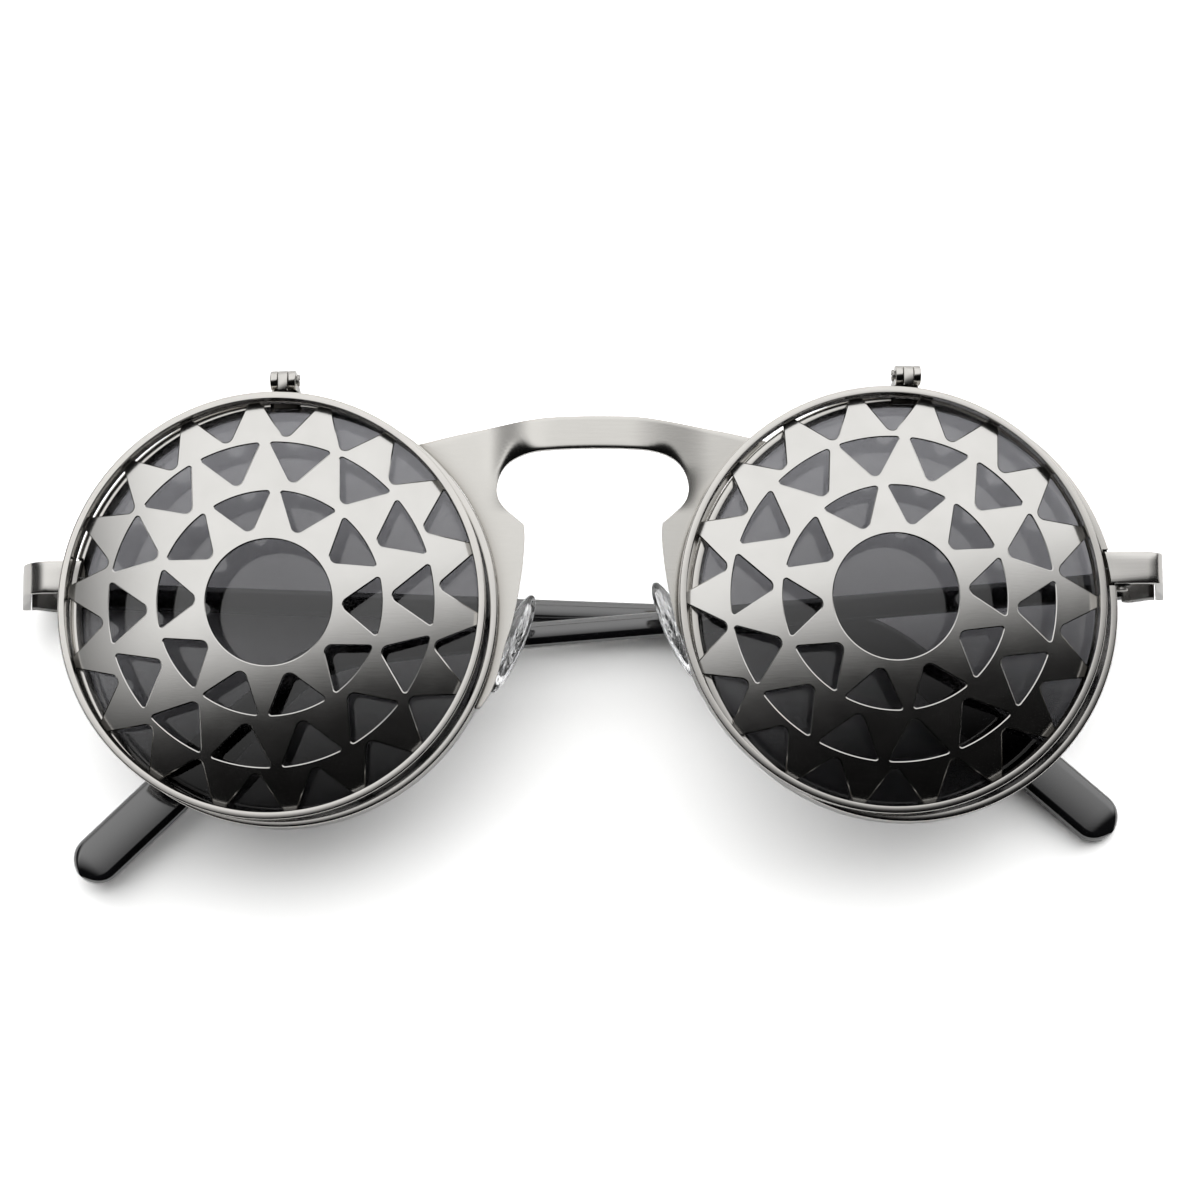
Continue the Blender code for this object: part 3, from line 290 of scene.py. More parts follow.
def plastic(name, fixed, cloud, first, second, gloss, fine, depth):
    """Plastic or silicone with cloudy patches in its colour and gloss, and a fine relief."""
    made, tree = new_finish(name)
    cloudy = grain(tree, *cloud)
    dress(tree, {**fixed, "Base Color": two_tone(tree, cloudy, first, second),
                 "Roughness": spread(tree, cloudy, *gloss),
                 "Normal": relief(tree, grain(tree, *fine), depth)})
    return made


# Painted shade: a near-black tint for recesses, notches and the shaded lower inside of the cover
# hoop. A brown tint for the solder seam's heat colour, with painted shade beside the rim.
PAINTED_SHADE_COLOUR, SOLDER_AND_SHADE_COLOUR = (0.045, 0.042, 0.038), (0.27, 0.25, 0.22)
finishes = {
    "cover_nickel": metal("brushed_cover_nickel", (0.635, 0.625, 0.605), (0.60, 0.59, 0.57),
                          0.175, (260.0, 5200.0, 5200.0), 0.0016),
    "rim_steel": metal("drawn_rim_steel", (0.62, 0.60, 0.57), (0.58, 0.565, 0.54),
                       0.15, (900.0, 900.0, 6000.0), 0.0004, "soot", PAINTED_SHADE_COLOUR),
    "bridge_steel": metal("satin_bridge_steel", (0.63, 0.615, 0.585), (0.605, 0.59, 0.56),
                          0.2, (240.0, 3600.0, 3600.0), 0.002, "solder", SOLDER_AND_SHADE_COLOUR, 0.7),
    "end_steel": metal("brushed_end_steel", (0.64, 0.625, 0.60), (0.61, 0.595, 0.57),
                       0.2, (260.0, 5200.0, 5200.0), 0.001),
    # Painted shade: this steel is darkened far below the others, for the dark look of the hinges,
    # blocks, cradles and cores.
    "hinge_steel": metal("milled_hinge_steel", (0.20, 0.195, 0.185), (0.11, 0.105, 0.10),
                         0.28, (3000.0, 700.0, 3000.0), 0.0015),
    "knuckle_steel": metal("turned_knuckle_steel", (0.63, 0.615, 0.585), (0.54, 0.525, 0.50),
                           0.18, (700.0, 3000.0, 3000.0), 0.0008, "soot", PAINTED_SHADE_COLOUR),
    "screw_steel": metal("turned_screw_steel", (0.50, 0.49, 0.47), (0.36, 0.35, 0.33),
                         0.3, (4000.0, 4000.0, 4000.0), 0.0015),
    "lens": lens_glass("grey_lens"),
    "pad": plastic("clear_pad_silicone", {"Transmission Weight": 1.0, "IOR": 1.45},
                   ((500.0, 500.0, 500.0), 3.0), (0.86, 0.865, 0.88), (0.95, 0.955, 0.965),
                   (0.02, 0.07), ((900.0, 130.0, 900.0),), 0.16),
    "temple": plastic("black_arm_acetate", {"IOR": 1.8, "Coat Weight": 1.0,
                                            "Coat Roughness": 0.02, "Coat IOR": 1.75},
                      ((90.0, 160.0, 160.0),), (0.008, 0.008, 0.009), (0.016, 0.016, 0.018),
                      (0.05, 0.11), ((300.0, 4200.0, 4200.0), 4.0), 0.002),
}


# Shaping


def smooth_step(value):
    value = min(max(value, 0.0), 1.0)
    return value * value * (3.0 - 2.0 * value)


def circle(centre, radius, steps, start=0.0, sweep=math.tau):
    count = steps if sweep == math.tau else steps + 1
    return [(centre[0] + radius * math.cos(start + sweep * index / steps),
             centre[1] + radius * math.sin(start + sweep * index / steps))
            for index in range(count)]


def between(first, last, steps):
    """Points that part the line from one point to another into equal steps."""
    return [tuple(Vector(first).lerp(Vector(last), share / steps)) for share in range(1, steps)]


def rounded(corners, steps):
    """An outline of (x, y, radius) corners, each turned into an arc of its radius."""
    points = []
    for index, (x, y, radius) in enumerate(corners):
        if radius <= 0.0:
            points.append((x, y))
            continue
        here = Vector((x, y))
        before = (Vector(corners[index - 1][:2]) - here).normalized()
        after = (Vector(corners[(index + 1) % len(corners)][:2]) - here).normalized()
        half = before.angle(after) / 2
        centre = here + (before + after).normalized() * radius / math.sin(half)
        first = here + before * radius / math.tan(half) - centre
        last = here + after * radius / math.tan(half) - centre
        start = math.atan2(first.y, first.x)
        sweep = math.atan2(first.x * last.y - first.y * last.x, first.dot(last))
        points += circle(centre, radius, steps, start, sweep)
    return points


def turned(profile, steps, closed=True):
    """Turn a (radius, height) profile about the Z axis."""
    mesh = bmesh.new()
    points = [mesh.verts.new((radius, 0.0, height)) for radius, height in profile]
    lines = [mesh.edges.new(pair) for pair in zip(points, points[1:])]
    if closed:
        lines.append(mesh.edges.new((points[-1], points[0])))
    bmesh.ops.spin(mesh, geom=points + lines, cent=(0.0, 0.0, 0.0), axis=(0.0, 0.0, 1.0),
                   angle=math.tau, steps=steps, use_merge=True)
    bmesh.ops.remove_doubles(mesh, verts=mesh.verts, dist=0.0005)
    bmesh.ops.recalc_face_normals(mesh, faces=mesh.faces)
    return mesh


def slab(outline, low, high, plane="XY"):
    """A solid with an outline, between two levels of the axis that its plane leaves out."""
    mesh = bmesh.new()
    mesh.faces.new([mesh.verts.new((x, y, low)) for x, y in outline])
    grown = bmesh.ops.extrude_face_region(mesh, geom=mesh.faces[:])
    moved = [item for item in grown["geom"] if isinstance(item, bmesh.types.BMVert)]
    bmesh.ops.translate(mesh, verts=moved, vec=(0.0, 0.0, high - low))
    swap = {"XY": Matrix.Identity(4),
            "YZ": Matrix(((0, 0, 1, 0), (1, 0, 0, 0), (0, 1, 0, 0), (0, 0, 0, 1))),
            "ZX": Matrix(((0, 1, 0, 0), (0, 0, 1, 0), (1, 0, 0, 0), (0, 0, 0, 1)))}[plane]
    bmesh.ops.transform(mesh, verts=mesh.verts, matrix=swap)
    bmesh.ops.recalc_face_normals(mesh, faces=mesh.faces)
    return mesh


def block(x_low, x_high, y_low, y_high, z_low, z_high):
    corners = ((x_low, y_low), (x_high, y_low), (x_high, y_high), (x_low, y_high))
    return slab(corners, z_low, z_high)


def join_rows(mesh, rows, closed=False):
    """Four-sided faces between each row of points and the next."""
    for first, second in zip(rows, rows[1:]):
        count = len(first)
        for index in range(count if closed else count - 1):
            following = (index + 1) % count
            mesh.faces.new((first[index], first[following], second[following], second[index]))


def as_data(name, mesh):
    data = bpy.data.meshes.new(name)
    mesh.to_mesh(data)
    mesh.free()
    return data


def put(name, data):
    made = bpy.data.objects.new(name, data)
    bpy.context.scene.collection.objects.link(made)
    return made


def bench_object(name, mesh):
    """A shape still on the bench: in millimetres, linked so that modifiers can work on it."""
    return put(name, as_data(name, mesh))


def clear_bench(*items):
    for item in items:
        bpy.data.objects.remove(item, do_unlink=True)


def combine(item, tool, operation="DIFFERENCE"):
    modifier = item.modifiers.new("cut", "BOOLEAN")
    modifier.operation, modifier.solver, modifier.object = operation, "EXACT", tool


def worked(item, *tools):
    """What the object's modifiers make of it, as a mesh of its own."""
    view = bpy.context.evaluated_depsgraph_get()
    data = bpy.data.meshes.new_from_object(item.evaluated_get(view), depsgraph=view)
    clear_bench(item, *tools)
    return data


def machined(name, mesh, cuts=(), edge=0.0, steps=2):
    """Cut shapes out of a blank and break its sharp edges."""
    item = bench_object(name, mesh)
    tools = [bench_object(f"{name}_cutter_{index}", shape) for index, shape in enumerate(cuts)]
    for tool in tools:
        combine(item, tool)
    if edge > 0.0:
        modifier = item.modifiers.new("edge", "BEVEL")
        modifier.width, modifier.segments = edge, steps
        modifier.limit_method, modifier.angle_limit = "ANGLE", math.radians(40.0)
        modifier.miter_outer = "MITER_ARC"
    return worked(item, *tools)


def bore_of(x, y, radius, steps, low, high, plane="ZX"):
    """A round cutter along the third axis."""
    return slab(circle((x, y), radius, steps), low, high, plane)


def mark(data, layer, strength):
    """A value at each point of a mesh, which its finish reads as painted shade or as a stain's
    tint.
    """
    values = data.attributes.new(layer, "FLOAT", "POINT").data
    for vertex, value in zip(data.vertices, values):
        value.value = strength(vertex.co)
    return data


def hang(name, data, place, body, nodes, finish, sharp=35.0):
    """Set a finished mesh in its place and let it stand for its CAD nodes."""
    data.transform(place)
    shape = bmesh.new()
    shape.from_mesh(data)
    bmesh.ops.recalc_face_normals(shape, faces=shape.faces)
    shape.to_mesh(data)
    shape.free()
    data.shade_smooth()
    data.set_sharp_from_angle(angle=math.radians(sharp))
    data.materials.clear()
    data.materials.append(finishes[finish])
    made = put(name, data)
    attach(made, body)
    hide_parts(*nodes)
    return made


# Node trees


def new_tree(name, inputs):
    """A Geometry Nodes tree with named inputs; returns it with its ends and input identifiers."""
    tree = bpy.data.node_groups.new(name, "GeometryNodeTree")
    tree.interface.new_socket("Geometry", in_out="INPUT", socket_type="NodeSocketGeometry")
    keys = {}
    for label, kind in inputs:
        socket = tree.interface.new_socket(label, in_out="INPUT", socket_type=f"NodeSocket{kind}")
        keys[label] = socket.identifier
    tree.interface.new_socket("Geometry", in_out="OUTPUT", socket_type="NodeSocketGeometry")
    return tree, tree.nodes.new("NodeGroupInput"), tree.nodes.new("NodeGroupOutput"), keys


def run_tree(tree, keys, values, base):
    """Run a tree on a base mesh and return the plain mesh that it makes."""
    item = bench_object(tree.name + "_bench", base)
    modifier = item.modifiers.new(tree.name, "NODES")
    modifier.node_group = tree
    for label, value in values.items():
        modifier[keys[label]] = value
    return worked(item)


def object_in(tree, start, label):
    """The shape that one of the tree's inputs names."""
    shape = add_node(tree, "GeometryNodeObjectInfo", {"Object": start.outputs[label]},
                     transform_space="ORIGINAL")
    return shape.outputs["Geometry"]


def real_copies(tree, instances):
    return add_node(tree, "GeometryNodeRealizeInstances", {0: instances})


def on_points(tree, points, shape, angles, **picked):
    """Copies of a shape on points, turned by angles."""
    rotation = add_node(tree, "FunctionNodeEulerToRotation", {0: angles})
    return add_node(tree, "GeometryNodeInstanceOnPoints",
                    {"Points": points, "Instance": shape, "Rotation": rotation, **picked})


def hand_out(tree, shape, start, end):
    """Make every copy real, give the whole its metal and send it out of the tree."""
    painted = add_node(tree, "GeometryNodeSetMaterial",
                       {"Geometry": real_copies(tree, shape), "Material": start.outputs["Metal"]})
    feed(tree, end.inputs[0], painted)


def welded(tree, shapes):
    """Several shapes as one, with their common points made one."""
    gathered = add_node(tree, "GeometryNodeJoinGeometry")
    for shape in shapes:
        feed(tree, gathered.inputs[0], shape)
    return add_node(tree, "GeometryNodeMergeByDistance", {0: gathered, "Distance": 0.002})


def ring_of(tree, start, label):
    """One outline's lining, repeated round the sheet's centre."""
    count = start.outputs[label + " count"]
    points = add_node(tree, "GeometryNodePoints", {"Count": count})
    index = add_node(tree, "GeometryNodeInputIndex")
    turn = calculate(tree, "MULTIPLY", index, calculate(tree, "DIVIDE", math.tau, count))
    return real_copies(tree, on_points(tree, points, object_in(tree, start, label),
                                       upright(tree, turn)))


def filled(tree, linings, thickness, compare, lift):
    """The sheet's upper or lower face, filled in between the linings' open edges."""
    neighbours = add_node(tree, "GeometryNodeInputMeshEdgeNeighbors")
    place = add_node(tree, "GeometryNodeInputPosition")
    height = add_node(tree, "ShaderNodeSeparateXYZ", {0: place}).outputs["Z"]
    beyond = calculate(tree, compare, height, calculate(tree, "MULTIPLY", thickness, 0.5))
    single = calculate(tree, "LESS_THAN", neighbours, 1.5)
    curve = add_node(tree, "GeometryNodeMeshToCurve",
                     {"Mesh": linings, "Selection": calculate(tree, "MULTIPLY", beyond, single)})
    fill = add_node(tree, "GeometryNodeFillCurve", {0: curve})
    return add_node(tree, "GeometryNodeSetPosition",
                    {"Geometry": fill, "Offset": upright(tree, lift)})


def sheet_tree(rows):
    """A domed sheet whose edges and pierced rows are linings repeated round its centre."""
    inputs = [(row, "Object") for row in rows] + [(row + " count", "Int") for row in rows]
    inputs += [("Thickness", "Float"), ("Dome radius", "Float"), ("Sheet radius", "Float"),
               ("Turn", "Float"), ("Seat", "Float"), ("Metal", "Material")]
    tree, start, end, keys = new_tree("pierced_sheet", inputs)
    thickness, curve = start.outputs["Thickness"], start.outputs["Dome radius"]
    linings = welded(tree, [ring_of(tree, start, row) for row in rows])
    closed = welded(tree, [linings, filled(tree, linings, thickness, "GREATER_THAN", thickness),
                           filled(tree, linings, thickness, "LESS_THAN", 0.0)])
    place = add_node(tree, "GeometryNodeInputPosition")
    away = add_node(tree, "ShaderNodeVectorMath", {0: place, 1: (1.0, 1.0, 0.0)},
                    operation="MULTIPLY")
    length = add_node(tree, "ShaderNodeVectorMath", {0: away}, operation="LENGTH")

    def above_centre(radius):
        inside = calculate(tree, "SUBTRACT", calculate(tree, "MULTIPLY", curve, curve),
                           calculate(tree, "MULTIPLY", radius, radius))
        return calculate(tree, "SQRT", inside)

    rise = calculate(tree, "SUBTRACT", above_centre(length.outputs["Value"]),
                     above_centre(start.outputs["Sheet radius"]))
    lift = calculate(tree, "ADD", rise, start.outputs["Seat"])
    domed = add_node(tree, "GeometryNodeSetPosition",
                     {"Geometry": closed, "Offset": upright(tree, lift)})
    aligned = add_node(tree, "GeometryNodeTransform",
                       {"Geometry": domed, "Rotation": upright(tree, start.outputs["Turn"])})
    hand_out(tree, aligned, start, end)
    return tree, keys


def screw_tree(kinds):
    """Screws on points: each point says which screw it takes, and how it is turned."""
    inputs = [(kind, "Object") for kind in kinds] + [("Metal", "Material")]
    tree, start, end, keys = new_tree("frame_screws", inputs)
    box = add_node(tree, "GeometryNodeGeometryToInstance")
    for kind in reversed(kinds):
        feed(tree, box.inputs[0], object_in(tree, start, kind))
    which = add_node(tree, "GeometryNodeInputNamedAttribute", {"Name": "kind"}, data_type="INT")
    turn = add_node(tree, "GeometryNodeInputNamedAttribute", {"Name": "turn"},
                    data_type="FLOAT_VECTOR")
    placed = on_points(tree, start, box, turn, **{"Pick Instance": True, "Instance Index": which})
    hand_out(tree, placed, start, end)
    return tree, keys


# Flip covers


def petal_slope(apex, arc, count, web):
    """Half the angle that a petal takes up on its arc, and the slope of its straight side."""
    nose = HOLE_NOSE
    half = math.pi / count - math.asin(web / 2 / arc)
    reach = Vector((arc * math.cos(half) - apex - nose, arc * math.sin(half)))
    return half, math.atan2(reach.y, reach.x) - math.asin(nose / reach.length)


def petal(apex, arc, count, web, corner=0.3):
    """A hole along the X axis: a round apex inside, an arc with round corners outside."""
    nose, slope = HOLE_NOSE, petal_slope(apex, arc, count, web)[1]
    along = Vector((math.cos(slope), math.sin(slope)))
    normal = Vector((-along.y, along.x))
    start = Vector((apex + nose, 0.0)) + normal * (nose - corner)
    reach = arc - corner
    run = start.dot(along)
    middle = start + along * (math.sqrt(run * run + reach * reach - start.length_squared) - run)
    turn = math.atan2(middle.y, middle.x)
    square = slope + math.pi / 2
    points = circle((0.0, 0.0), arc, 20, -turn, turn * 2)
    points += circle(middle, corner, 8, turn, square - turn)[1:]
    nose_arc = circle((apex + nose, 0.0), nose, 16, square, (math.pi - square) * 2)
    points += between(points[-1], nose_arc[0], 5) + nose_arc
    last = circle((middle.x, -middle.y), corner, 8, -square, square - turn)
    return points + between(nose_arc[-1], last[0], 5) + last[:-1]


def tooth_outline(tip=1.5):
    """One gap and one flat tip of the sheet's toothed edge, from mid tip to mid tip."""
    gap = SUN * 0.8225
    half, slope = petal_slope(gap, SUN, TEETH, tip)
    square = slope + math.pi / 2
    root = circle((gap + HOLE_NOSE, 0.0), HOLE_NOSE, 16, -square, (square - math.pi) * 2)
    pitch = math.tau / TEETH
    before = circle((0.0, 0.0), SUN, 6, -pitch / 2, pitch / 2 - half)
    after = circle((0.0, 0.0), SUN, 6, half, pitch / 2 - half)
    return (before + between(before[-1], root[0], 6) + root
            + between(root[-1], after[0], 6) + after)


def lining(outline, closed):
    """The wall of a hole, or of one tooth's open edge, with its broken edges above and below."""
    count = len(outline)
    mesh = bmesh.new()
    hand = 1.0 if closed else -1.0
    offsets = []
    for index, point in enumerate(outline):
        here = Vector(point)
        before = Vector(outline[index - 1]) if closed or index else None
        after = Vector(outline[(index + 1) % count]) if closed or index < count - 1 else None
        normals = []
        for first, second in ((before, here), (here, after)):
            if first is not None and second is not None and (second - first).length > 1e-6:
                run = (second - first).normalized()
                normals.append(Vector((run.y, -run.x)))
        total = sum(normals, Vector((0.0, 0.0)))
        unit = total.normalized()
        offsets.append(unit * hand / max(unit.dot(normals[0]), 0.4))
    if not closed:
        for index in (0, -1):
            offsets[index] = Vector(outline[index]).normalized() * -1.0
    fall = EDGE_BREAK * 0.65
    levels = ((EDGE_BREAK, SHEET), (0.0, SHEET - fall), (0.0, fall), (EDGE_BREAK, 0.0))
    rows = [[mesh.verts.new((point[0] + offset.x * out, point[1] + offset.y * out, level))
             for point, offset in zip(outline, offsets)] for out, level in levels]
    join_rows(mesh, rows, closed)
    return mesh


def sheet_rows():
    """Each outline of the sheet, and how often it comes round."""
    return {"Tooth": (tooth_outline(), TEETH),
            "Eye": (circle((0.0, 0.0), SUN * 0.306, 144), 1),
            "Inner petal": (petal(SUN * 0.359, SUN * 0.544, INNER_PETALS, 1.2), INNER_PETALS),
            "Outer petal": (petal(SUN * 0.595, SUN * 0.788, OUTER_PETALS, 1.15), OUTER_PETALS)}


def make_sheet(name, tree, keys, rows):
    """The sunburst: one pierced and domed sheet, whose dome carries its exact normals."""
    seat = SUN_SEAT + SEAT_GAP
    values = {**rows, "Thickness": SHEET, "Dome radius": SUN_CURVE, "Sheet radius": SUN,
              "Turn": SUN_TURN[name], "Seat": seat, "Metal": finishes["cover_nickel"]}
    data = run_tree(tree, keys, values, bmesh.new())
    place = cover_place(name)
    made = hang(name + "_sunburst_sheet", data, place, name + "_cover", (name + "_sunburst",),
                "cover_nickel", sharp=25.0)
    fall = math.sqrt(SUN_CURVE * SUN_CURVE - SUN * SUN)
    centre = place @ Vector((0.0, 0.0, seat - fall))
    mesh = made.data
    corner_normals = [normal.vector.copy() for normal in mesh.corner_normals]
    for polygon in mesh.polygons:
        out = (polygon.center - centre).normalized()
        facing = polygon.normal.dot(out)
        if abs(facing) > 0.97:
            for loop in polygon.loop_indices:
                point = mesh.vertices[mesh.loops[loop].vertex_index].co
                corner_normals[loop] = (point - centre).normalized() * math.copysign(1.0, facing)
    mesh.normals_split_custom_set(corner_normals)


def make_cover_ring(name):
    """A flat-faced hoop; a small cone at its back carries the sheet."""
    inner = COVER - COVER_FACE
    low, high = COVER_LIFT, COVER_LIFT + COVER_DEPTH
    wall = high - 0.3
    profile = rounded(((COVER - 0.1, low, 0.12), (COVER, high - 0.04, 0.2), (inner, high, 0.07),
                       (inner, wall, 0.0), (inner, SUN_SEAT + 0.5, 0.0), (inner, SUN_SEAT, 0.0),
                       (inner - 0.3, low, 0.05)), 5)

    # Painted shade: the hoop's inner wall is darkened towards its lower side, standing in for the
    # shade there.
    def shade_painted_at(point):
        inside = point.z <= wall + 0.01 and point.xy.length <= inner + 0.01
        return smooth_step((-3.0 - point.y) / 4.0) if inside else 0.0

    data = mark(as_data("hoop", turned(profile, 200)), "soot", shade_painted_at)
    hang(name + "_cover_hoop", data, cover_place(name), name + "_cover",
         (name + "_cover_ring",), "rim_steel")


def make_flip_tongue(name):
    """A knuckle round the flip pin, on a short tongue that is soldered to the cover ring."""
    under, seat = KNUCKLE - 1.4, SEAT_GAP - FLIP_RISE
    sweep = math.pi * 3 / 2 + math.asin(under / KNUCKLE)
    shape = circle((0.0, 0.0), KNUCKLE, 30, math.pi / 2, -sweep) + [(seat, under), (seat, KNUCKLE)]
    data = machined("tongue", slab(shape, -TONGUE_HALF, TONGUE_HALF, "YZ"),
                    (bore_of(0.0, 0.0, PIN_BORE, 24, -2.0, 2.0, "YZ"),), 0.12)
    place = place_for(name, "flip") @ shift(0.0, FLIP_HEIGHT, FLIP_LEVEL)
    hang(name + "_flip_tongue_knuckle", data, place, name + "_cover", (name + "_flip_tongue",),
         "knuckle_steel")


# Front


def make_rim(name):
    """A grooved ring, notched for the flip clevis and the end piece, and split to close."""
    profile = rounded(((RIM, -RIM_DEPTH, 0.15), (RIM, -0.03, 0.24), (RIM - 0.92, 0.0, 0.08),
                       (LIP, -1.3, 0.08), (LIP, -1.75, 0.0), (GROOVE, -2.25, 0.0),
                       (LIP, -2.75, 0.0), (LIP, -RIM_DEPTH, 0.08)), 4)
    flip, half_foot, half_end = FLIP_SHIFT[name], CLEVIS_HALF + 0.3, END_HALF + 0.3
    far, high = RIM + 2.0, 2.0
    cuts = (block(flip - half_foot, flip + half_foot, RIM - 1.6, far, -NOTCH, high),
            block(RIM - 0.9 - END_LEVEL * END_LEVEL / RIM, far, END_LEVEL - half_end,
                  END_LEVEL + half_end, -NOTCH, high),
            block(LIP - 2.0, far, END_LEVEL - SIDE_GAP, END_LEVEL + SIDE_GAP, -5.0, high))
    data = machined("rim", turned(profile, 200), cuts)

    # Painted shade: the rim goes dark in the notches under the flip clevis and the end piece, where
    # they lie in shade.
    def shade_painted_at(point):
        under_flip = abs(point.x - flip) < half_foot + 0.02 and point.y > RIM - 1.7
        under_end = abs(point.y - END_LEVEL) < half_end + 0.02 and point.x > RIM - 2.0
        return 1.0 if (under_flip or under_end) and point.z < -0.05 else 0.0

    mark(data, "soot", shade_painted_at)
    hang(name + "_eyewire", data, place_for(name, "eye"), "front", (name + "_rim",), "rim_steel",
         sharp=30.0)


def make_lens(name):
    """A shallow dome with a V-shaped edge that sits in the rim's groove."""
    edge, crest, middle, half_bevel = LIP - SEAT_GAP, GROOVE - SEAT_GAP * 2, -2.25, 0.38
    thickness = 1.7

    def front(radius):
        return -0.35 - radius * radius / 440.0

    rings = [edge * index / 20 for index in range(20)]
    profile = [(radius, front(radius)) for radius in rings]
    profile += [(edge - 0.1, front(edge)), (edge, middle + half_bevel), (crest, middle),
                (edge, middle - half_bevel), (edge - 0.1, front(edge) - thickness)]
    profile += [(radius, front(radius) - thickness) for radius in rings[::-1]]
    hang(name + "_tinted_lens", as_data("lens", turned(profile, 144, closed=False)),
         place_for(name, "eye"), "front", (name + "_lens",), "lens", 30.0)


def smooth_route(points, steps):
    """Points on a smooth curve through the given ones."""
    ends = [points[0] * 2 - points[1]] + points + [points[-1] * 2 - points[-2]]
    route = []
    for before, first, second, after in zip(ends, ends[1:], ends[2:], ends[3:]):
        for index in range(steps):
            share = index / steps
            pull_in, pull_out, gap = (second - before) / 2, (after - first) / 2, second - first
            route.append(first + pull_in * share + (gap * 3 - pull_in * 2 - pull_out) * share ** 2
                         + (pull_in + pull_out - gap * 2) * share ** 3)
    return route + [points[-1]]


OUTER_BAR = ((0.0, 1.0), (0.25, 0.994), (0.46, 0.972), (0.64, 0.946), (0.82, 0.915))
NOSE_ARCH = ((0.0, 1.0), (0.36, 0.99), (0.66, 0.955), (0.84, 0.87), (0.95, 0.72), (1.0, 0.52),
             (0.985, 0.36), (0.93, 0.24), (0.83, 0.12))
NOSE_EDGE = ((1.0, 1.0), (0.99, 0.93), (1.018, 0.79), (1.07, 0.66), (1.125, 0.555), (1.195, 0.445),
             (1.29, 0.34), (1.395, 0.19), (1.505, 0.085), (1.66, 0.0))


def bridge_half(depth):
    """Outer and inner points down the right half of the bridge plate, at a depth in the rim."""
    reach = RIM + SEAT_GAP / 3

    def beside_rim(angle):
        point = eye_turned @ Vector((reach * math.cos(angle), reach * math.sin(angle), -depth))
        return (point.x, point.y)

    join, tip_angle = math.radians(129.0), math.radians(207.5)
    top, bar, widest = RIM - 3.05, 4.05, 10.6
    join_x = beside_rim(join)[0]
    outer = [(join_x * x_share, top * y_share) for x_share, y_share in OUTER_BAR]
    steps = len(NOSE_ARCH) + len(NOSE_EDGE) - len(OUTER_BAR)
    outer += [beside_rim(join + (tip_angle - join) * index / (steps - 1)) for index in range(steps)]
    span, tip = top - bar - widest, outer[-1][1]
    inner = [(12.0 * x_share, widest + span * y_share) for x_share, y_share in NOSE_ARCH]
    inner += [(8.65 * x_share, tip + (widest - tip) * y_share) for x_share, y_share in NOSE_EDGE]
    return outer, inner


def plate_level(x, y):
    """Front surface of the bridge plate: two leaning halves, and a bar that stands forward."""
    away = abs(x)
    halves = (HALF_GAP - away) * math.tan(WRAP) - PLATE_DROP
    width = 8.4 if x < 0.0 else 10.0
    bend = smooth_step((9.8 + width / 2 - away) / width)
    return halves + (0.9 - halves) * bend * smooth_step((y - 12.0) / 6.0)


def rolled_edge(point, away):
    """How far the bar's lower edge rolls back, most of all at its two bends."""
    at_bend = math.exp(-((abs(point.x) - 9.3) / 1.5) ** 2)
    reach = 0.4 + (2.3 if point.x < 0.0 else 1.1) * at_bend
    inside = max(1.0 - away / reach, 0.0)
    return 0.25 * reach * inside ** 2 * smooth_step((point.y - 15.0) / 3.0)


def split_route(points, stops, steps):
    """Smooth a row of points, with a true corner kept at each of the stops."""
    route = []
    for first, last in zip((0,) + stops, stops + (len(points) - 1,)):
        route += smooth_route([Vector(point) for point in points[first:last + 1]], steps)[:-1]
    return route + [Vector(points[-1])]


def both_halves(half, corner, steps):
    """A whole outline from its right half, with a true corner on each side."""
    middle = len(half) - 1
    return split_route([(-x, y) for x, y in half[:0:-1]] + half,
                       (middle - corner, middle + corner), steps)


def make_bridge():
    """The double plate between the rims, with the nose opening in it."""
    across, steps = 14, 5
    mesh = bmesh.new()
    faces = []
    for drop in (0.0, 1.0):
        outer, inner = bridge_half(PLATE_DROP + drop)
        rows = []
        for first, second in zip(both_halves(outer, len(OUTER_BAR), steps),
                                 both_halves(inner, len(NOSE_ARCH), steps)):
            row = []
            for index in range(across + 1):
                point = first.lerp(second, 1.0 - (1.0 - index / across) ** 1.7)
                roll = rolled_edge(point, (point - second).length)
                row.append(mesh.verts.new((point.x, point.y, plate_level(*point) - roll - drop)))
            rows.append(row)
        faces.append(rows)
    for rows in faces:
        join_rows(mesh, rows)
    for end in (0, -1):
        join_rows(mesh, [[row[end] for row in rows] for rows in faces])
        join_rows(mesh, [rows[end] for rows in faces])
    bmesh.ops.recalc_face_normals(mesh, faces=mesh.faces)
    data = machined("bridge", mesh, (), 0.2, 4)
    eye = eye_turned.inverted()

    # The plate darkens towards the rim: partly the solder seam's heat tint, partly painted shade
    # beside the rim.
    def solder_heat_and_shade_at(point):
        away = (eye @ Vector((abs(point.x), point.y, point.z))).xy.length - RIM
        return math.exp(-max(away, 0.0) / 0.7)

    mark(data, "solder", solder_heat_and_shade_at)
    hang("bridge_double_plate", data, place_for("right", "front"), "front", ("bridge_plate",),
         "bridge_steel", sharp=30.0)


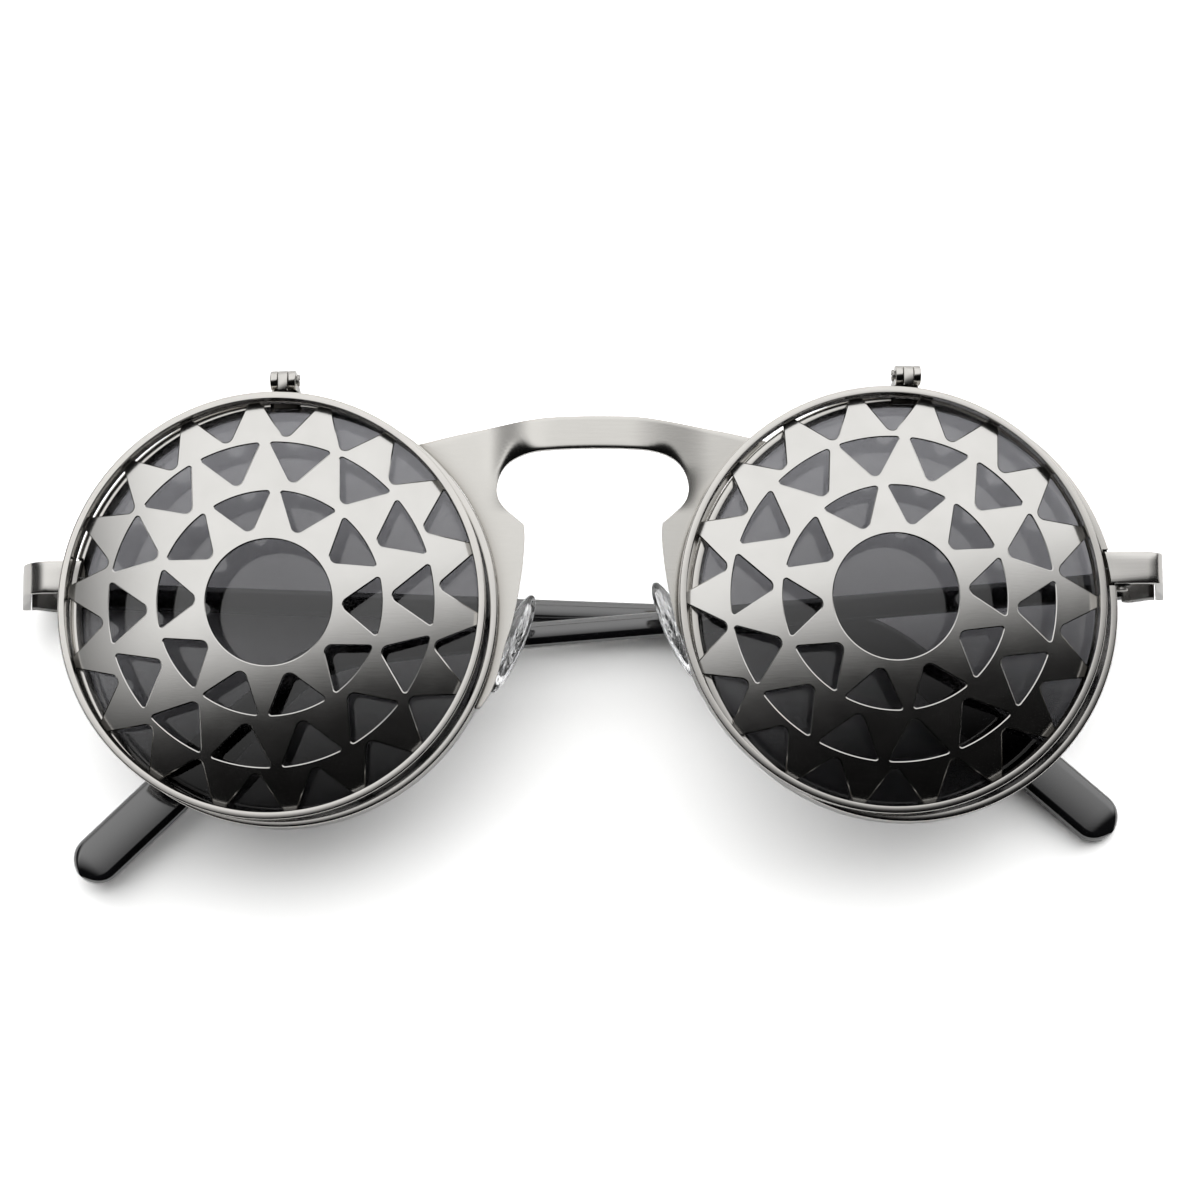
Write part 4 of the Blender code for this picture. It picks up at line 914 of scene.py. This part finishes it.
def make_end_piece(name):
    """A bent strip: its crowned face laps the rim, its leg runs back to the temple hinge."""
    start, rear = END_START, END_CORNER - LEG_END * math.tan(SPLAY)
    bend = {"right": 2.3, "left": 3.9}[name]
    shape = rounded(((start, 0.0, 0.0), (END_CORNER, 0.0, bend), (rear, LEG_END, 0.3),
                     (leg_inside(LEG_END), LEG_END, 0.3), (leg_inside(-STRIP), -STRIP, 1.25),
                     (start, -STRIP, 0.0)), 14)
    mesh = bmesh.new()
    across, crest = 12, 0.9
    rows = []
    for index in range(across + 1):
        share = math.sin((index / across - 0.5) * math.pi)
        row = []
        for x, z in shape:
            along = min(max((x - start) / (END_CORNER - start), 0.0), 1.0)
            y = share * END_HALF * (1.0 - 0.025 * along)
            if y > 0.0:
                y += 0.12 * share * math.sin(math.pi * along)
            foot = smooth_step((-9.0 - z) / 3.0) * smooth_step(-share * 2.0)
            level = END_LEVEL + y - 0.5 * foot
            crown = 0.16 * share ** 6 if z > -crest and x > start else 0.0
            reach = math.sqrt(start * start - level * level) if x <= start + 0.001 else x
            row.append(mesh.verts.new((reach, level, z - crown * smooth_step((z + crest) / crest))))
        rows.append(row)
    join_rows(mesh, rows, closed=True)
    mesh.faces.new(rows[0])
    mesh.faces.new(rows[-1])
    bmesh.ops.recalc_face_normals(mesh, faces=mesh.faces)
    data = machined("end", mesh, (), 0.1, 2)
    hang(name + "_end_strip", data, place_for(name, "eye"), "front", (name + "_end_piece",),
         "end_steel", sharp=32.0)


def make_closing_blocks(name):
    """Two blocks on the rim's ends, which the closing screw draws together."""
    seat, outside = RIM + SEAT_GAP, CLOSING_X + 0.95
    upper, lower = END_LEVEL + SIDE_GAP, END_LEVEL - SIDE_GAP
    for place, low, high, bore_end in (("upper", upper, upper + BLOCK, upper + BLIND_BORE),
                                       ("lower", lower - BLOCK, lower, lower + 2.0)):
        inside = [(math.sqrt(seat * seat - y * y), y) for y in (high, (low + high) / 2, low)]
        mesh = slab(inside + [(outside, low), (outside, high)], -RIM_DEPTH, -NOTCH)
        bore = bore_of(CLOSING_Z, CLOSING_X, PIN_BORE, 24, low - 2.0, bore_end)
        hang(f"{name}_closing_barrel_{place}", machined("barrel", mesh, (bore,), 0.12),
             place_for(name, "eye"), "front", (f"{name}_closing_block_{place}",), "hinge_steel")


def make_flip_clevis(name):
    """Two rounded cheeks on a leg whose foot laps the rim."""
    height, level, radius = FLIP_HEIGHT, FLIP_LEVEL, KNUCKLE
    lap, wall, foot = RIM - 1.3, RIM + SEAT_GAP, -NOTCH + SEAT_GAP
    back = math.radians(-60.0)
    shape = circle((height, level), radius, 32, back, math.pi - back)
    shape += [(height - radius, -SEAT_GAP), (lap, -SEAT_GAP), (lap, foot), (wall, foot),
              (wall, -RIM_DEPTH), (wall + 0.9, -RIM_DEPTH)]
    half, half_slot = CLEVIS_HALF, TONGUE_HALF + SIDE_GAP
    cuts = (block(-half_slot, half_slot, lap - 2.0, height + radius + 2.0,
                  level - radius - SEAT_GAP, level + radius + 2.0),
            bore_of(height, level, PIN_BORE, 28, -half - 2.0, half + 2.0, "YZ"))
    data = machined("clevis", slab(shape, -half, half, "YZ"), cuts, 0.14, 3)
    # Painted shade: the clevis darkens low down towards the rim and below its knuckle's crest,
    # where it stands in shade.
    mark(data, "soot", lambda point: smooth_step((0.55 - point.z) / 0.5)
         * smooth_step((height - point.y) / 0.6))
    hang(name + "_flip_cheeks", data, place_for(name, "flip"), "front", (name + "_flip_clevis",),
         "knuckle_steel")


def make_front_hinge(name):
    """A base on the end piece's leg with two barrels round the temple's one."""
    x, y, z = hinge_x, hinge_y, hinge_z
    radius, half, rear = HINGE_RADIUS, HINGE_HALF, LEG_END + 0.4
    front = rear + 2.6

    def inner_face(level):
        return leg_inside(level) - SEAT_GAP - 0.7

    def touch(point, hand):
        away = Vector(point) - Vector((z, x))
        return math.atan2(away.y, away.x) + hand * math.acos(radius / away.length)

    first = touch((rear, inner_face(rear)), 1.0)
    last = touch((front, inner_face(front)), -1.0) + math.tau
    shape = [(front, inner_face(front)), (front, leg_inside(front) - SEAT_GAP),
             (rear, leg_inside(rear) - SEAT_GAP), (rear, inner_face(rear))]
    shape += circle((z, x), radius, 32, first, last - first)
    low, high, near = z - radius - 2.0, z + radius + 0.25, x - radius - 2.0
    slot = slab([(low, near), (high, near), (high, inner_face(high)), (low, inner_face(low))],
                y - 0.76, y + 0.76, "ZX")
    bore = bore_of(z, x, HINGE_BORE, 24, y - half - 2.0, y + half + 2.0)
    data = machined("hinge", slab(shape, y - half, y + half, "ZX"), (slot, bore), 0.1)
    hang(name + "_front_barrels", data, place_for(name, "eye"), "front",
         (name + "_front_hinge",), "hinge_steel")


# Screws


def screw_shape(name, radius, head, height, length):
    """A cheese-head screw with a rounded rim, a slot and a point that is turned down."""
    profile = [(0.0, -length), (radius * 0.7, -length), (radius, -length + radius * 0.4),
               (radius, -0.02), (head * 0.94, 0.0), (head, height * 0.12)]
    profile += [(head * (1.0 - 0.16 * (1.0 - math.cos(turn))),
                 height * (0.55 + 0.33 * math.sin(turn)))
                for turn in (math.pi / 2 * index / 6 for index in range(7))]
    profile += [(head * 0.5, height * 0.96), (0.0, height)]
    slot = block(-head - 1.0, head + 1.0, -0.125, 0.125, height - 0.2, height + 1.0)
    return put(name, machined(name, turned(profile, 40, closed=False), (slot,), 0.02, 1))


def make_screws():
    """All the front's slotted screws, each on its own point."""
    under = END_LEVEL - SIDE_GAP - BLOCK - SEAT_GAP
    closing = END_LEVEL + SIDE_GAP + BLIND_BORE - SEAT_GAP - under
    outside = BOX_INSIDE + BOX_WALL
    quarter = math.pi / 2
    screws = {
        "closing screw": ("eye", shift(CLOSING_X, under, CLOSING_Z)
                          @ Matrix.Rotation(quarter, 4, "X"),
                          screw_shape("closing", 0.45, 0.8, 0.5, closing)),
        "flip pin": ("flip", shift(-CLEVIS_HALF - SEAT_GAP, FLIP_HEIGHT, FLIP_LEVEL)
                     @ Matrix.Rotation(-quarter, 4, "Y"),
                     screw_shape("pin", 0.45, 0.75, 0.35, CLEVIS_HALF * 2 + SEAT_GAP)),
        "pad screw": ("pad", shift(0.0, 0.0, outside + SEAT_GAP),
                      screw_shape("pad_pin", 0.3, 0.55, 0.3, outside * 2 + SEAT_GAP)),
        "hinge screw": ("eye", shift(hinge_x, hinge_y + HINGE_HALF + SEAT_GAP, hinge_z)
                        @ Matrix.Rotation(-quarter, 4, "X"),
                        screw_shape("hinge_pin", 0.42, 0.85, 0.45, HINGE_HALF * 2 + SEAT_GAP))}
    kinds = list(screws)
    tree, keys = screw_tree(kinds)
    base = bmesh.new()
    kind_layer = base.verts.layers.int.new("kind")
    turn_layer = base.verts.layers.float_vector.new("turn")
    nodes = []
    for name, mirror in SIDES.items():
        for kind, (where, place, shape) in screws.items():
            whole = Matrix.Scale(1.0 / MM, 4) @ place_for(name, where) @ place @ mirror
            vertex = base.verts.new(whole.translation)
            vertex[kind_layer] = kinds.index(kind)
            vertex[turn_layer] = whole.to_euler()
            nodes.append(name + "_" + kind.replace(" ", "_"))
    shapes = {kind: shape for kind, (where, place, shape) in screws.items()}
    data = run_tree(tree, keys, {**shapes, "Metal": finishes["screw_steel"]}, base)
    clear_bench(*shapes.values())
    hang("slotted_screws", data, Matrix.Scale(MM, 4), "front", nodes, "screw_steel",
         30.0)


# Nose pads


def make_pad(name):
    """A soft lens-shaped cushion with a lug that the screw goes through."""
    mesh = bmesh.new()
    bmesh.ops.create_uvsphere(mesh, u_segments=64, v_segments=32, radius=1.0)
    for vertex in mesh.verts:
        x, y, z = vertex.co
        thick = math.copysign(abs(x) ** 0.8, x)
        vertex.co = (thick * 0.9 - PAD_OFFSET, y * 6.7, z * 3.5)
    outline = rounded(((-PAD_OFFSET, -LUG_RISE, 0.0), (0.5, -LUG_RISE, 0.3),
                       (0.5, LUG_RISE, 0.3), (-PAD_OFFSET, LUG_RISE, 0.0)), 5)
    item = bench_object("pad", mesh)
    lug = bench_object("lug", slab(outline, -LUG_HALF, LUG_HALF))
    bore = bench_object("bore", bore_of(0.0, 0.0, PAD_BORE, 20, -7.0, 7.0, "XY"))
    combine(item, lug, "UNION")
    combine(item, bore)
    hang(name + "_clear_pad", worked(item, lug, bore), place_for(name, "pad"),
         name + "_nose_pad", (name + "_pad",), "pad", 40.0)


def make_pad_box(name):
    """The small cradle whose two walls the pad's lug stands between."""
    inside, outside, low = BOX_INSIDE, BOX_INSIDE + BOX_WALL, -0.55
    inner, outer = BOX_FLOOR, BOX_FLOOR + BOX_WALL
    shape = [(-outside, low), (-outside, outer), (outside, outer), (outside, low),
             (inside, low), (inside, inner), (-inside, inner), (-inside, low)]
    data = machined("box", slab(shape, -1.5, 1.5, "ZX"),
                    (bore_of(0.0, 0.0, PAD_BORE, 20, -3.0, 3.0, "XY"),), 0.08)
    hang(name + "_pad_cradle", data, place_for(name, "pad"), "front", (name + "_pad_box",),
         "hinge_steel")


def make_pad_arm(name):
    """A bent wire from the rim's back, in a loop past the pad, to the back of its box."""
    radius, angle = (RIM + LIP) / 2, math.radians(172.0)
    foot = (radius * math.cos(angle), radius * math.sin(angle))
    back = BOX_FLOOR + BOX_WALL + SEAT_GAP
    stops = [eye_turned @ Vector((*foot, -RIM_DEPTH - SEAT_GAP - drop)) for drop in (0.0, 0.9)]
    stops += [at_pad_height(name, point) for point in ((11.3, 5.2, -4.6), (10.12, 3.12, -5.72),
                                                       (13.6, 0.8, -5.9))]
    stops += [pad_seat(name) @ Vector((back + away, 0.0, 0.0)) for away in (1.6, 0.0)]
    route = smooth_route(stops, 14)
    curve = bpy.data.curves.new("wire", "CURVE")
    curve.dimensions, curve.bevel_depth, curve.bevel_resolution = "3D", 0.45, 5
    curve.use_fill_caps = True
    spline = curve.splines.new("POLY")
    spline.points.add(len(route) - 1)
    for point, place in zip(spline.points, route):
        point.co = (*place, 1.0)
    data = worked(put("wire", curve))
    hang(name + "_pad_wire", data, place_for(name, "front"), "front", (name + "_pad_arm",),
         "rim_steel", sharp=50.0)


# Temples


def temple_point(along, droop):
    """Centre line of a folded temple, and its direction, at a length from the hinge."""
    bend = BEND_RADIUS * BEND
    straight = min(along, TEMPLE_STRAIGHT)
    turn = droop + min(max(along - TEMPLE_STRAIGHT, 0.0), bend) / BEND_RADIUS
    last = max(along - TEMPLE_STRAIGHT - bend, 0.0)
    x = (straight * math.cos(droop) + last * math.cos(turn)
         + BEND_RADIUS * (math.sin(turn) - math.sin(droop)))
    y = (straight * math.sin(droop) + last * math.sin(turn)
         + BEND_RADIUS * (math.cos(droop) - math.cos(turn)))
    return Vector((-x, -y, -TEMPLE_OFFSET)), turn


def temple_height(share):
    for (start, low), (end, high) in zip(TEMPLE_HEIGHTS, TEMPLE_HEIGHTS[1:]):
        if share <= end:
            return low + (high - low) * smooth_step((share - start) / (end - start))
    return TEMPLE_HEIGHTS[-1][1]


def make_temple(name):
    """The black arm: flat faces, rolled edges, and a round tip below its bend."""
    droop, widest = ARM_DROOP[name], TEMPLE_HEIGHTS[-1][1]
    start, half_depth, tip = 0.7, 1.35, 3.2
    round_start = TEMPLE_LENGTH - tip
    sections = [(start + (round_start - start) * index / 150, temple_height(index / 150))
                for index in range(150)]
    sections += [(round_start + tip * math.sin(turn), widest * math.cos(turn))
                 for turn in (math.pi / 2 * index / 24 for index in range(24))]
    sections.append((TEMPLE_LENGTH - 0.002, 0.12))
    mesh = bmesh.new()
    rows = []
    for along, height in sections:
        centre, turn = temple_point(along, droop)
        up = Vector((-math.sin(turn), math.cos(turn), 0.0))
        roll = min(max((TEMPLE_LENGTH - along) / 2.2, 0.0), 1.0)
        depth = half_depth - 0.45 * (1.0 - math.sqrt(max(1.0 - (1.0 - roll) ** 2, 0.0)))
        radius = min(min(1.2, height / 2) * 0.98, depth * 0.98)
        corners = [(rise * height / 2, out * depth, radius)
                   for rise, out in ((1, 1), (-1, 1), (-1, -1), (1, -1))]
        rows.append([mesh.verts.new(centre + up * rise + Vector((0.0, 0.0, out)))
                     for rise, out in rounded(corners, 7)])
    join_rows(mesh, rows, closed=True)
    mesh.faces.new(rows[0])
    mesh.faces.new(rows[-1])
    hang(name + "_black_arm", as_data("arm", mesh), place_for(name, "arm"), name + "_arm",
         (name + "_temple",), "temple", 50.0)


def make_core(name):
    """Barrel, short arm and long wire in one piece, cut from strip."""
    half, radius, far = 0.45, HINGE_RADIUS, -84.0
    open_angle = math.pi - math.asin(half / radius)
    low, high = -TEMPLE_OFFSET - half, -TEMPLE_OFFSET + half
    shape = circle((0.0, 0.0), radius, 32, -open_angle, open_angle * 2)
    shape += [(low + 0.3, half), (low, half - 0.3), (low, far), (high, far), (high, -half)]
    data = machined("core", slab(shape, -0.7, 0.7, "ZX"),
                    (bore_of(0.0, 0.0, HINGE_BORE, 24, -2.0, 2.0),), 0.1)
    for vertex in data.vertices:
        if vertex.co.x < -TEMPLE_OFFSET:
            vertex.co.y += vertex.co.x * math.tan(ARM_DROOP[name])
    hang(name + "_wire_core", data, place_for(name, "arm"), name + "_arm",
         (name + "_temple_core",), "hinge_steel")


# Studio


def make_floor():
    """A pale table, white to the camera, that keeps the object's shadow."""
    mesh = bmesh.new()
    bmesh.ops.create_grid(mesh, x_segments=8, y_segments=8, size=3.0)
    made = bench_object("table_top", mesh)
    paper, tree = new_finish("white_table_paper")
    tree.nodes.remove(tree.nodes["Principled BSDF"])
    tint = two_tone(tree, grain(tree, (40.0, 40.0, 40.0)), (0.90, 0.90, 0.895),
                    (0.915, 0.915, 0.91))
    plain = add_node(tree, "ShaderNodeBsdfDiffuse", {"Color": tint})
    bright = add_node(tree, "ShaderNodeBsdfDiffuse", {"Color": tint})
    both = add_node(tree, "ShaderNodeAddShader", {0: plain, 1: bright})
    white = add_node(tree, "ShaderNodeAddShader", {0: both, 1: both})
    path = add_node(tree, "ShaderNodeLightPath").outputs
    glossy = add_node(tree, "ShaderNodeMixShader", {0: path["Is Glossy Ray"], 1: plain, 2: both})
    seen = calculate(tree, "MAXIMUM", path["Is Camera Ray"], path["Is Transmission Ray"])
    mix = add_node(tree, "ShaderNodeMixShader", {0: seen, 1: glossy, 2: white})
    feed(tree, tree.nodes["Material Output"].inputs["Surface"], mix)
    made.data.materials.append(paper)


def make_light():
    """One wide soft light above and behind; the camera's side of the room is dark."""
    world = bpy.data.worlds.new("softbox_room")
    bpy.context.scene.world = world
    world.use_nodes = True
    tree = world.node_tree
    direction = add_node(tree, "ShaderNodeTexCoord").outputs["Generated"]
    axes = add_node(tree, "ShaderNodeSeparateXYZ", {0: direction}).outputs
    lean = calculate(tree, "MULTIPLY", axes["X"], -0.22)
    level = spread(tree, calculate(tree, "ADD", axes["Y"], lean), 0.0, 1.0, -0.13, 0.23,
                   "SMOOTHSTEP")
    for axis, first, last, low, high in (("X", 1.0, 0.04, 0.84, 1.04),
                                         ("X", 0.04, 1.0, -0.85, -0.5),
                                         ("Z", 0.8, 1.0, 0.05, 0.35)):
        fade = spread(tree, axes[axis], first, last, low, high, "SMOOTHSTEP")
        level = calculate(tree, "MULTIPLY", level, fade)
    white = (1.0, 1.0, 1.0, 1.0)
    softbox = tree.nodes["Background"]
    feed(tree, softbox.inputs["Color"], white)
    feed(tree, softbox.inputs["Strength"], calculate(tree, "MULTIPLY_ADD", level, 1.25, 0.002))
    backdrop = add_node(tree, "ShaderNodeBackground", {"Strength": 1.0, "Color": white})
    path = add_node(tree, "ShaderNodeLightPath")
    mix = add_node(tree, "ShaderNodeMixShader",
                   {0: path.outputs["Is Camera Ray"], 1: softbox, 2: backdrop})
    feed(tree, tree.nodes["World Output"].inputs["Surface"], mix)


def make_camera():
    """The camera stands where the photograph was taken, almost straight above the lenses."""
    aim, distance = Vector((0.34412, 2.62888, 20.0)), 575.542
    turn = Matrix.Identity(4)
    for angle, axis in ((-16.036671, "Z"), (8.181557, "X"), (15.642871, "Z")):
        turn = turn @ Matrix.Rotation(math.radians(angle), 4, axis)
    data = bpy.data.cameras.new("photo_camera")
    data.sensor_width = 36.0
    focal_pixels, picture_pixels = 4581.503, 1200.0
    data.lens = data.sensor_width * focal_pixels / picture_pixels
    data.clip_start, data.clip_end = 0.01, 20.0
    made = put("photo_camera", data)
    made.matrix_world = Matrix.Translation(aim * MM) @ turn \
        @ Matrix.Translation((0.0, 0.0, distance * MM))
    bpy.context.scene.camera = made


def main():
    outlines = sheet_rows()
    tree, keys = sheet_tree(list(outlines))
    linings = {label: bench_object(label, lining(outline, label != "Tooth"))
               for label, (outline, count) in outlines.items()}
    rows = {**linings, **{label + " count": count for label, (outline, count) in outlines.items()}}
    for name in SIDES:
        make_sheet(name, tree, keys, rows)
        for make in (make_cover_ring, make_flip_tongue, make_rim, make_lens, make_end_piece,
                     make_closing_blocks, make_flip_clevis, make_front_hinge, make_pad,
                     make_pad_box, make_pad_arm, make_temple, make_core):
            make(name)
    clear_bench(*linings.values())
    make_bridge()
    make_screws()
    make_floor()
    make_light()
    make_camera()
    bpy.context.scene.view_settings.view_transform = "Standard"


main()
